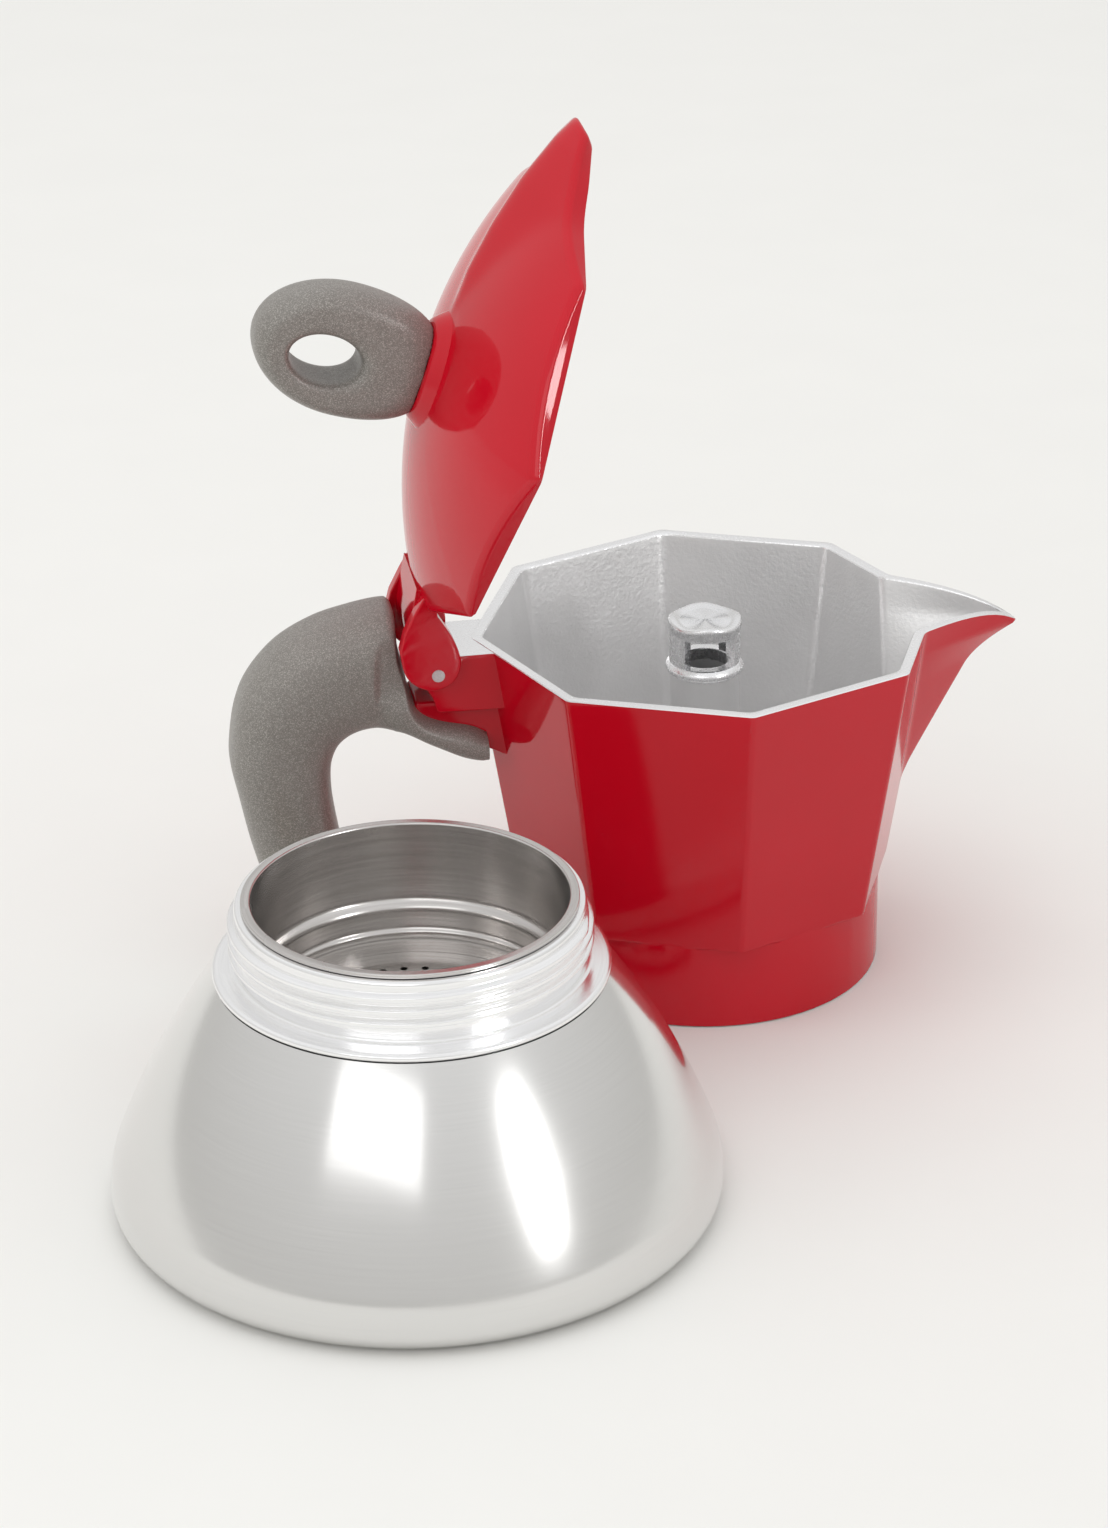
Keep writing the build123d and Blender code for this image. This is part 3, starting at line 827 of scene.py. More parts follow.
@dataclass
class Funnel:
    """Spun steel funnel that hangs in the neck."""

    finish: bpy.types.Material
    rim_low_z: float = 62.4
    rim_high_z: float = 63.2
    rim_r: float = 31.4
    wall_r: float = 30.1
    lower_r: float = 28.7
    step_z: float = 46.0
    bead_z: float = 40.2
    floor_z: float = 35.5
    stem_r: float = 4.6
    cone_z: float = 24.0
    stem_low_z: float = 9.0
    gauge: float = 0.6

    def cup(self) -> None:
        """Makes the cup: rolled rim, wall, step, bead and the cone below the strainer."""
        g, w, lo = self.gauge, self.wall_r, self.lower_r
        corners = [
            (self.rim_r, self.rim_low_z, 0.2), (self.rim_r, self.rim_high_z, 0.35),
            (w - g, self.rim_high_z, 0.5), (w - g, self.step_z + 1.0, 0.8),
            (lo - g, self.step_z - 0.4, 0.9), (lo - g, self.bead_z + 1.3, 0.5),
            (lo - g - 0.7, self.bead_z + 0.5, 0.4), (lo - g - 0.7, self.bead_z - 0.5, 0.4),
            (lo - g, self.bead_z - 1.3, 0.5), (lo - g, self.floor_z, 0.6),
            (self.stem_r + 0.05, self.cone_z, 0.3), (self.stem_r + 0.05, self.cone_z - g, 0.1),
            (lo, self.floor_z - g, 0.6), (lo, self.step_z - 1.0, 0.8),
            (w, self.step_z + 0.4, 0.8), (w, self.rim_low_z, 0.15),
        ]
        made = piece(
            "funnel_cup_skin", turned(rounded(corners), BOILER_AXIS), Ends.JOINED, "funnel",
            [self.finish], crease_deg=40.0,
        )
        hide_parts("funnel_cup")

    def stem(self) -> None:
        """Makes the stem: a plain tube with rounded mouths."""
        r, g = self.stem_r, self.gauge
        corners = [
            (r - g, self.stem_low_z, 0.2), (r, self.stem_low_z, 0.2),
            (r, self.cone_z + 1.5, 0.2), (r - g, self.cone_z + 1.5, 0.2),
        ]
        made = piece(
            "funnel_stem_tube", turned(rounded(corners), BOILER_AXIS, 64), Ends.JOINED, "funnel",
            [self.finish],
        )
        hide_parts("funnel_stem")

    def build(self) -> None:
        """Makes every new piece of the funnel."""
        self.cup()
        self.stem()


# ---- collector -------------------------------------------------------------------------------
@dataclass
class EightSided:
    """Column layout of an eight-sided outline whose corners are rounded curves.

    Every column belongs to a corner: either at t along its rounded curve, or part way along the
    straight run to the next corner.
    """

    corners: int
    curve_steps: int = 6
    run_steps: int = 9
    corner: np.ndarray = field(init=False)
    along: np.ndarray = field(init=False)
    is_run: np.ndarray = field(init=False)

    def __post_init__(self) -> None:
        """Lays out the columns."""
        on_curve = np.linspace(0, 1, self.curve_steps)
        on_run = np.linspace(0, 1, self.run_steps + 2)[1:-1]
        per_corner = np.concatenate([on_curve, on_run])
        kinds = np.concatenate([np.zeros(self.curve_steps, bool), np.ones(self.run_steps, bool)])
        self.corner = np.repeat(np.arange(self.corners), len(per_corner))
        self.along = np.tile(per_corner, self.corners)
        self.is_run = np.tile(kinds, self.corners)

    def outline(self, spots: np.ndarray, setback: np.ndarray) -> np.ndarray:
        """Evaluates the outline where each column may see its own corner positions.

        Rounded corner: (1-t)^2 A + 2t(1-t) P + t^2 B. Straight run: (1-t) B + t A of the next.

        Args:
            spots: (corners, rows, columns, 2) positions of all corners seen by each point.
            setback: (corners,) how far each rounding reaches along its sides.

        Returns:
            (rows, columns, 2) plan positions.
        """
        columns = np.arange(len(self.corner))

        def seen(shift: int) -> np.ndarray:
            """Returns the corner that lies shift places further, for each point."""
            index = (self.corner + shift) % self.corners
            return np.moveaxis(spots[index, :, columns], 0, 1)

        def toward(start: np.ndarray, end: np.ndarray, reach: np.ndarray) -> np.ndarray:
            """Returns the point at most reach from start towards end."""
            step = end - start
            span = np.maximum(np.linalg.norm(step, axis=-1, keepdims=True), 1e-6)
            return start + step / span * np.minimum(reach[None, :, None], 0.45 * span)

        here = setback[self.corner]
        beyond = setback[(self.corner + 1) % self.corners]
        last, this, after = seen(-1), seen(0), seen(1)
        a, b = toward(this, last, here), toward(this, after, here)
        a_next = toward(after, this, beyond)
        t = self.along[None, :, None]
        curve = (1 - t) ** 2 * a + 2 * t * (1 - t) * this + t**2 * b
        run = (1 - t) * b + t * a_next
        return np.where(self.is_run[None, :, None], run, curve)


@dataclass
class Collector:
    """Eight-sided cast jug on a round threaded skirt, with spout, column, lug and bracket."""

    enamel: bpy.types.Material
    cast: bpy.types.Material
    cut: bpy.types.Material
    cap_finish: bpy.types.Material
    foot_z: float = 18.3
    foot_r: float = 39.4
    rim_z: float = 75.0
    rim_r: float = 48.7
    wall: float = 2.5
    floor_z: float = 20.8
    floor_round: float = 3.2
    keel_z: float = 35.9
    tip_x: float = 66.3
    tip_z: float = 69.3
    spout_share: float = 0.44
    skirt_r: float = 36.6
    column_r: float = 7.0
    bore_r: float = 5.0
    column_z: float = 64.0
    layout: EightSided = field(default_factory=lambda: EightSided(10))

    def corner_radius(self, z: np.ndarray, inset: float) -> np.ndarray:
        """Distance of the eight corners from the axis: it grows evenly with height."""
        share = (z - self.foot_z) / (self.rim_z - self.foot_z)
        return self.foot_r + (self.rim_r - self.foot_r) * share - inset

    def keel(self, z: np.ndarray, inset: float) -> np.ndarray:
        """Reach of the spout's keel: a straight line that curls out like a beak near the tip.

        x = 42.4 + 0.537 (z - 35.9) + 0.0825 max(0, z - 60.5)^2, never past the tip.

        Args:
            z: heights.
            inset: wall thickness to stay inside, or 0.

        Returns:
            Distances along the spout.
        """
        straight = 42.4 + 0.537 * (z - self.keel_z)
        beak = straight + 0.0825 * np.maximum(0, z - 60.5) ** 2
        return np.minimum(beak, self.tip_x) - 1.25 * inset

    def spots(self, z: np.ndarray, inset: float) -> np.ndarray:
        """Places the ten corners at each point's height.

        Corner 0 is the spout's keel, 1 and 9 are where the spout leaves the two front faces, and
        2 to 8 are the seven other corners, 45 degrees apart.

        Args:
            z: (rows, columns) heights.
            inset: how far inside the outer skin.

        Returns:
            (10, rows, columns, 2) plan positions.
        """
        radius = self.corner_radius(z, inset)
        share = np.clip((z - self.keel_z) / (self.rim_z - self.keel_z), 0, 1)
        leave = 0.05 + (self.spout_share - 0.05) * share
        front = np.stack([radius, np.zeros_like(radius)], -1)
        places = []
        for k in range(1, 8):
            a = math.radians(45 * k)
            places.append(np.stack([radius * math.cos(a), radius * math.sin(a)], -1))
        left = front + (places[0] - front) * leave[..., None]
        right = front + (places[6] - front) * leave[..., None]
        reach = np.maximum(self.keel(z, inset), radius)
        keel = np.stack([reach, np.zeros_like(reach)], -1)
        return np.stack([keel, left, *places, right])

    def plan(self, z: np.ndarray, inset: float) -> np.ndarray:
        """Plan positions of all columns at the given heights."""
        setback = np.full(10, 0.9 if inset == 0 else 1.6)
        setback[0] = 1.6
        setback[[1, 9]] = 1.3
        return self.layout.outline(self.spots(z, inset), setback)

    def rim_heights(self, inset: float) -> np.ndarray:
        """Height of the rim over each column: level, then down by 0.59 t^2 + 0.41 t^5 of the drop."""
        level = np.full((1, len(self.layout.corner)), self.rim_z)
        x = self.plan(level, inset)[0, :, 0]
        start = self.rim_r - 6.2
        t = np.clip((x - start) / (self.tip_x - start), 0, 1)
        drop = self.rim_z - self.tip_z
        return self.rim_z - drop * (0.59 * t**2 + 0.41 * t**5)

    def body(self) -> None:
        """Makes the jug as one closed skin.

        Rows run up the skirt and the eight faces, over the rim, down the inner faces, in across
        the floor, up the column, down its bore, out under the floor and down the skirt's thread.
        """
        outer_top, inner_top = self.rim_heights(0), self.rim_heights(self.wall)
        foot = np.full_like(outer_top, self.foot_z)[None]
        angle = np.arctan2(*np.moveaxis(self.plan(foot, 0)[0], -1, 0)[::-1])
        ring = np.stack([np.cos(angle), np.sin(angle)], -1)

        def circle(radius: float, z: float) -> np.ndarray:
            """Returns one round row."""
            return np.concatenate([ring * radius, np.full((len(angle), 1), z)], 1)[None]

        def joined(plan: np.ndarray, z: np.ndarray) -> np.ndarray:
            """Returns rows from plan positions and heights."""
            return np.concatenate([plan, z[..., None]], -1)

        red, cut, bare = range(3)
        rows: list[np.ndarray] = []
        bands: list[int] = []

        def add(block: np.ndarray, band: int) -> None:
            """Appends rows with the number of the finish that follows them."""
            rows.append(block)
            bands.extend([band] * len(block))

        add(circle(self.skirt_r - 0.35, 0.0), bare)
        for inward, z in ((0.1, 0.12), (0.0, 0.4), (0.0, 9.0), (0.0, 16.2), (0.02, 16.7)):
            add(circle(self.skirt_r - inward, z), red)
        for share, z in ((0.05, 17.9), (0.95, 18.3), (1.0, 18.7)):
            height = np.full((1, len(angle)), z)
            face = joined(self.plan(np.maximum(height, self.foot_z), 0), height)
            add(circle(self.skirt_r, z) * (1 - share) + face * share, red)
        climb = np.linspace(0, 1, 64)[:, None] ** 0.85
        z = 20.0 + (outer_top[None] - 0.45 - 20.0) * climb
        add(joined(self.plan(z, 0), z), red)
        outer = joined(self.plan(outer_top[None], 0), outer_top[None])
        inner = joined(self.plan(inner_top[None], self.wall), inner_top[None])
        for share, drop in ((0.02, 0.16), (0.1, 0.0), (0.5, -0.03), (0.9, 0.0), (0.98, 0.16)):
            row = outer * (1 - share) + inner * share
            row[..., 2] -= drop
            add(row, cut)
        top, bottom = inner_top[None] - 0.45, self.floor_z + self.floor_round
        z = top + (bottom - top) * np.linspace(0, 1, 40)[:, None]
        add(joined(self.plan(z, self.wall), z), bare)
        low = self.plan(np.full((1, len(angle)), self.floor_z + 3.0), self.wall)
        span = np.linalg.norm(low, axis=-1, keepdims=True)
        turn = np.linspace(0, math.pi / 2, 7)[1:]
        heights = self.floor_z + self.floor_round * (1 - np.sin(turn))
        for step, height in zip(1 - np.cos(turn), heights):
            inward = low * (1 - self.floor_round * step / span)
            add(joined(inward, np.full((1, len(angle)), height)), bare)
        edge = joined(low * (1 - self.floor_round / span), np.full((1, len(angle)), self.floor_z))
        foot_row = circle(self.column_r + 1.6, self.floor_z)
        for share in (0.25, 0.5, 0.75, 1.0):
            add(edge * (1 - share) + foot_row * share, bare)
        r, b = self.column_r, self.bore_r
        inside = [
            (r + 0.7, self.floor_z + 0.3), (r + 0.2, self.floor_z + 0.9), (r, self.floor_z + 1.8),
            (r, 40.0), (r, self.column_z - 0.3), (r - 0.3, self.column_z), (b + 0.2, self.column_z),
            (b, self.column_z - 0.3), (b, 40.0), (b, 17.8), (b + 0.4, 17.3),
        ]
        under = [(20.0, 17.3), (33.2, 17.3), (33.6, 16.9), (33.6, 13.4), (34.9, 12.8)]
        for mid in (10.2, 7.2, 4.2):
            under += [(35.0, mid + 1.9), (35.0, mid + 1.0), (34.62, mid + 0.35)]
            under += [(34.5, mid), (34.62, mid - 0.4)]
        under += [(35.05, 2.7), (35.1, 2.0), (35.1, 0.5), (35.4, 0.05)]
        for radius, z_at in inside + under:
            add(circle(radius, z_at), bare)
        made = piece(
            "collector_jug", at_collector(np.concatenate(rows)), Ends.JOINED, "collector",
            [self.enamel, self.cut, self.cast], np.array(bands), 38.0,
        )
        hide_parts("collector_body")

    def behind_wall(self, grid: np.ndarray) -> np.ndarray:
        """Ends a plate inside the back wall: x is at most 1.2 + 0.414 |y| - corner radius."""
        limit = 1.2 + 0.414 * np.abs(grid[..., 1]) - self.corner_radius(grid[..., 2], 0.0)
        return np.stack([np.minimum(grid[..., 0], limit), grid[..., 1], grid[..., 2]], -1)

    def lug(self) -> None:
        """Makes the hinge lug behind the rim's back corner; its top is cut bare."""
        corners = [
            (-38.0, 74.9, 0.0), (-58.2, 74.9, 0.9), (-60.2, 72.4, 1.6), (-59.6, 69.2, 1.6),
            (-57.4, 65.8, 1.4), (-56.6, 62.6, 1.0), (-38.0, 62.6, 0.0),
        ]
        grid = at_collector(self.behind_wall(slab(rounded(corners, 8), -8.95, 8.95, 0.5, 12)))
        made = piece(
            "hinge_lug", grid, Ends.CLOSED, "collector", [self.enamel, self.cut],
        )
        upward = np.array([p.normal.z > 0.9 for p in made.data.polygons])
        made.data.polygons.foreach_set("material_index", upward.astype(int))

    def bracket(self) -> None:
        """Makes the tongue under the lug that the handle is bolted to."""
        corners = [
            (-38.0, 50.0, 0.0), (-61.0, 60.2, 1.0), (-61.0, 63.9, 1.0), (-38.0, 63.9, 0.0),
        ]
        grid = at_collector(self.behind_wall(slab(rounded(corners, 6), -6.0, 6.0, 0.6, 8)))
        piece("handle_bracket", grid, Ends.CLOSED, "collector", [self.enamel])

    def cap(self) -> None:
        """Makes the column's cap: a flared collar, two pillars and a notched crown."""
        columns = 96
        angle = np.arange(columns) * 2 * math.pi / columns
        collar = turned(rounded([
            (5.0, 63.4, 0.2), (7.0, 63.4, 0.2), (8.05, 64.3, 0.4), (8.05, 65.2, 0.4),
            (7.35, 66.2, 0.4), (5.0, 66.2, 0.2),
        ]), COLLECTOR_AXIS, columns)
        made = piece(
            "cap_collar", collar, Ends.JOINED, "collector", [self.cap_finish]
        )
        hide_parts("column_cap")
        crown = turned(rounded([
            (0.6, 72.4, 0.0), (7.2, 72.4, 0.25), (7.35, 73.2, 0.4), (7.55, 74.9, 0.3),
            (7.35, 75.6, 0.35), (6.2, 75.6, 0.4), (5.4, 75.1, 0.3), (0.6, 75.0, 0.0),
        ]), COLLECTOR_AXIS, columns)
        lobe = 0.5 + 0.5 * np.cos(4 * angle + math.radians(20))
        tall = np.clip((crown[..., 2] - 73.2) / 2.0, 0, 1)
        crown[..., 2] -= 0.55 * tall * (1 - lobe)
        piece(
            "cap_crown", crown, Ends.CLOSED, "collector", [self.cap_finish],
            crease_deg=50.0,
        )
        for side, name in ((0.0, "cap_pillar_spout"), (math.pi, "cap_pillar_handle")):
            loop = np.vstack([arc((0, 0), 7.3, -45, 45, 21), arc((0, 0), 5.2, 45, -45, 21)])
            c, s = math.cos(side), math.sin(side)
            loop = np.stack([loop[:, 0] * c - loop[:, 1] * s, loop[:, 0] * s + loop[:, 1] * c], 1)
            loop = loop + COLLECTOR_AXIS
            heights = (65.9, 69.0, 72.8)
            grid = np.stack([np.column_stack([loop, np.full(len(loop), h)]) for h in heights])
            piece(name, grid, Ends.CLOSED, "collector", [self.cap_finish])

    def build(self) -> None:
        """Makes every new piece of the collector."""
        self.body()
        self.lug()
        self.bracket()
        self.cap()


# ---- lid -------------------------------------------------------------------------------------
@dataclass
class Lid:
    """Cast dome with a turned-down edge, a roof over the spout, a boss and two hinge ears."""

    enamel: bpy.types.Material
    cast: bpy.types.Material
    rim_r: float = 49.1
    rim_z: float = 75.5
    top_z: float = 91.5
    edge_z: float = 77.5
    wall: float = 1.3
    tip: tuple[float, float] = (57.0, 5.2)
    shoulder: tuple[float, float] = (42.4, 17.6)
    lean_x: float = 48.0
    lean_share: float = 0.7
    gable_slope: float = 0.4
    gable_soft: float = 2.0
    blend: float = 0.7
    ridge_x: tuple[float, ...] = (-60.0, 0.0, 12.0, 22.0, 32.0, 42.6, 52.0, 60.0)
    ridge_z: tuple[float, ...] = (60.0, 88.4, 90.5, 90.2, 88.5, 85.7, 82.0, 77.6)
    layout: EightSided = field(default_factory=lambda: EightSided(11, 6, 7))

    def spots(self) -> np.ndarray:
        """Corners of the lid's outline: blunt tip, spout shoulders and seven eight-side corners."""
        places = [self.tip, self.shoulder]
        for k in range(1, 8):
            a = math.radians(45 * k)
            places.append((self.rim_r * math.cos(a), self.rim_r * math.sin(a)))
        places += [(x, -y) for x, y in (self.shoulder, self.tip)]
        return np.array(places)

    def outline(self) -> np.ndarray:
        """Returns the (columns, 2) plan outline with rounded corners."""
        spots = self.spots()
        columns = len(self.layout.corner)
        seen = np.broadcast_to(spots[:, None, None, :], (len(spots), 1, columns, 2))
        setback = np.full(len(spots), 0.9)
        setback[[1, 9]] = 4.0
        setback[[0, 10]] = 1.2
        return self.layout.outline(seen, setback)[0]

    def height(self, x: np.ndarray, y: np.ndarray) -> np.ndarray:
        """Height of the outer skin: the larger of a shallow sphere and a soft gable, blended.

        Sphere: zc + sqrt(R^2 - r^2). Gable: ridge(x) - slope (sqrt(y^2 + soft^2) - soft). The
        blend of a and b is (a + b)/2 + sqrt(((a - b)/2)^2 + blend^2/4) - blend/2.

        Args:
            x: distances along the spout.
            y: distances across it.

        Returns:
            Heights.
        """
        rise = self.top_z - self.edge_z
        radius = (self.rim_r**2 + rise**2) / (2 * rise)
        flat = np.maximum(radius**2 - x**2 - y**2, 1.0)
        sphere = self.top_z - radius + np.sqrt(flat)
        ridge = np.interp(x, self.ridge_x, self.ridge_z)
        soft = self.gable_soft
        gable = ridge - self.gable_slope * (np.sqrt(y**2 + soft**2) - soft)
        gap = (sphere - gable) / 2
        return (sphere + gable) / 2 + np.sqrt(gap**2 + self.blend**2 / 4) - self.blend / 2

    def leaned(self, grid: np.ndarray) -> np.ndarray:
        """Leans the blunt tip outwards with height.

        Beyond lean_x, the reach is scaled by lean_share at the rim, growing to 1 at 3 mm above it.

        Args:
            grid: points of the closed lid.

        Returns:
            The points with the tip leaned.
        """
        climb = np.clip((grid[..., 2] - self.rim_z) / 3.0, 0, 1)
        scale = self.lean_share + (1 - self.lean_share) * climb
        beyond = np.maximum(grid[..., 0] - self.lean_x, 0)
        return np.stack([grid[..., 0] - beyond * (1 - scale), grid[..., 1], grid[..., 2]], -1)

    def shell(self) -> None:
        """Makes the lid's skin: dome rows from the middle out, the lip, and back inside the wall."""
        edge = self.outline()
        reach = np.linalg.norm(edge, axis=1, keepdims=True)

        def row(inward: float, share: float, drop: float, fixed: float | None) -> np.ndarray:
            """Returns one row at a share of the outline, under the skin by drop or at a height."""
            plan = edge * (1 - inward / reach) * share
            if fixed is not None:
                return np.column_stack([plan, np.full(len(plan), fixed)])
            return np.column_stack([plan, self.height(plan[:, 0], plan[:, 1]) - drop])

        shares = np.concatenate([np.linspace(0.02, 0.9, 34), np.linspace(0.91, 0.975, 6)])
        rows = [row(0.0, share, 0.0, None) for share in shares]
        for inward, drop in (
            (1.1, 0.02), (0.7, 0.1), (0.38, 0.26), (0.14, 0.52), (0.02, 0.8), (0.0, 1.0),
            (0.05, 1.25),
        ):
            rows.append(row(inward, 1.0, drop, None))
        lip_top = rows[-1][:, 2]
        for share in (0.5, 1.0):
            low = row(0.05 + 0.37 * share, 1.0, 0.0, self.rim_z + 0.25)
            low[:, 2] = lip_top * (1 - share) + (self.rim_z + 0.25) * share
            low[:, 2] = np.minimum(low[:, 2], lip_top - 0.02 * share)
            rows.append(low)
        outside = len(rows)
        for inward, rise in ((0.62, 0.0), (self.wall - 0.2, 0.0), (self.wall, 0.2)):
            rows.append(row(inward, 1.0, 0.0, self.rim_z + rise))
        for share in (1.0, *shares[::-1]):
            under = row(self.wall, share, self.wall, None)
            under[:, 2] = np.maximum(under[:, 2], self.rim_z + 0.3)
            rows.append(under)
        bands = (np.arange(len(rows)) >= outside).astype(int)
        made = piece(
            "lid_dome", opened(self.leaned(np.stack(rows))), Ends.CLOSED, "lid",
            [self.enamel, self.cast], bands, 40.0,
        )
        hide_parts("lid")

    def boss(self) -> None:
        """Makes the oval boss that the knob stands on, flared into the dome."""
        steps = np.array([
            (12.7, 10.9, 89.7), (12.0, 10.2, 90.6), (11.3, 9.5, 91.5), (10.75, 8.9, 92.2),
            (10.3, 8.4, 92.7), (9.95, 8.05, 93.0), (9.6, 7.7, 93.18), (9.0, 7.0, 93.2), (4.0, 3.0, 93.2),
        ])
        angle = np.arange(96) * 2 * math.pi / 96
        x = 0.9 + steps[:, :1] * np.cos(angle)
        y = steps[:, 1:2] * np.sin(angle)
        z = np.broadcast_to(steps[:, 2:], x.shape)
        piece(
            "lid_boss", opened(np.stack([x, y, z], -1)), Ends.CLOSED, "lid",
            [self.enamel], crease_deg=60.0,
        )

    def ears(self) -> None:
        """Makes the two ears round the hinge pin and the web that joins them to the dome."""
        lower = flowing([
            (-44.6, 76.6), (-48.8, 71.8), (-53.1, 68.95), (-57.3, 69.05), (-60.05, 71.8),
            (-60.4, 75.4), (-58.6, 78.9), (-54.0, 81.6),
        ], 48)
        ear = np.vstack([lower, [(-50.0, 81.9), (-45.0, 81.2), (-40.0, 80.2), (-41.5, 78.0)]])
        for low, high, name in ((9.35, 12.55, "lid_ear_left"), (-12.55, -9.35, "lid_ear_right")):
            grid = opened(slab(ear, low, high, 0.45))
            piece(name, grid, Ends.CLOSED, "lid", [self.enamel])
        web = rounded([
            (-56.8, 77.5, 0.7), (-51.8, 80.3, 2.0), (-41.0, 81.8, 0.0), (-41.0, 79.1, 0.0),
            (-50.5, 76.9, 0.9),
        ], 8)
        grid = opened(slab(web, -9.6, 9.6, 0.3))
        piece("lid_web", grid, Ends.CLOSED, "lid", [self.enamel])

    def build(self) -> None:
        """Makes every new piece of the lid."""
        self.shell()
        self.boss()
        self.ears()


@dataclass
class Knob:
    """Oval ring knob with a finger hole, flat where it stands on the boss."""

    finish: bpy.types.Material
    x: float = 0.6
    z: float = 108.6
    half_x: float = 12.9
    half_z: float = 18.6
    half_y: float = 7.0
    hole_x: float = -0.9
    hole_z: float = 112.6
    hole_half_x: float = 4.9
    hole_half_z: float = 7.2
    foot_z: float = 93.25

    def build(self) -> None:
        """Makes the ring: a rounded section carried round between the hole and the outline.

        At angle a the section spans from the hole's ellipse to the outer ellipse. With the section
        angle b its points are middle + half span |cos b|^p, and y = half width |sin b|^q, each
        with its sign: p, q = 0.8, 0.75 outside and 0.35, 0.3 on the hole's side. The outer
        ellipse is fuller below its middle, where cos a becomes |cos a|^0.62. What would lie
        under the boss's top is pressed flat onto it.
        """
        a = (np.arange(128) * 2 * math.pi / 128)[None, :]
        b = (np.arange(48) * 2 * math.pi / 48)[:, None]
        fuller = np.where(np.sin(a) < 0, 0.62, 1.0)
        out_x = self.x + self.half_x * signed_power(np.cos(a), fuller)
        out_z = self.z + self.half_z * np.sin(a)
        in_x = self.hole_x + self.hole_half_x * np.cos(a)
        in_z = self.hole_z + self.hole_half_z * np.sin(a)
        walls = np.cos(b) < 0
        across = signed_power(np.cos(b), np.where(walls, 0.35, 0.8))
        wide = signed_power(np.sin(b), np.where(walls, 0.3, 0.75))
        x = (out_x + in_x) / 2 + (out_x - in_x) / 2 * across
        z = (out_z + in_z) / 2 + (out_z - in_z) / 2 * across
        y = self.half_y * wide * np.ones_like(a)
        grid = np.stack([x, y, np.maximum(z, self.foot_z)], -1)
        made = piece(
            "ring_knob", opened(grid), Ends.JOINED, "lid", [self.finish],
            crease_deg=60.0,
        )
        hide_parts("knob")


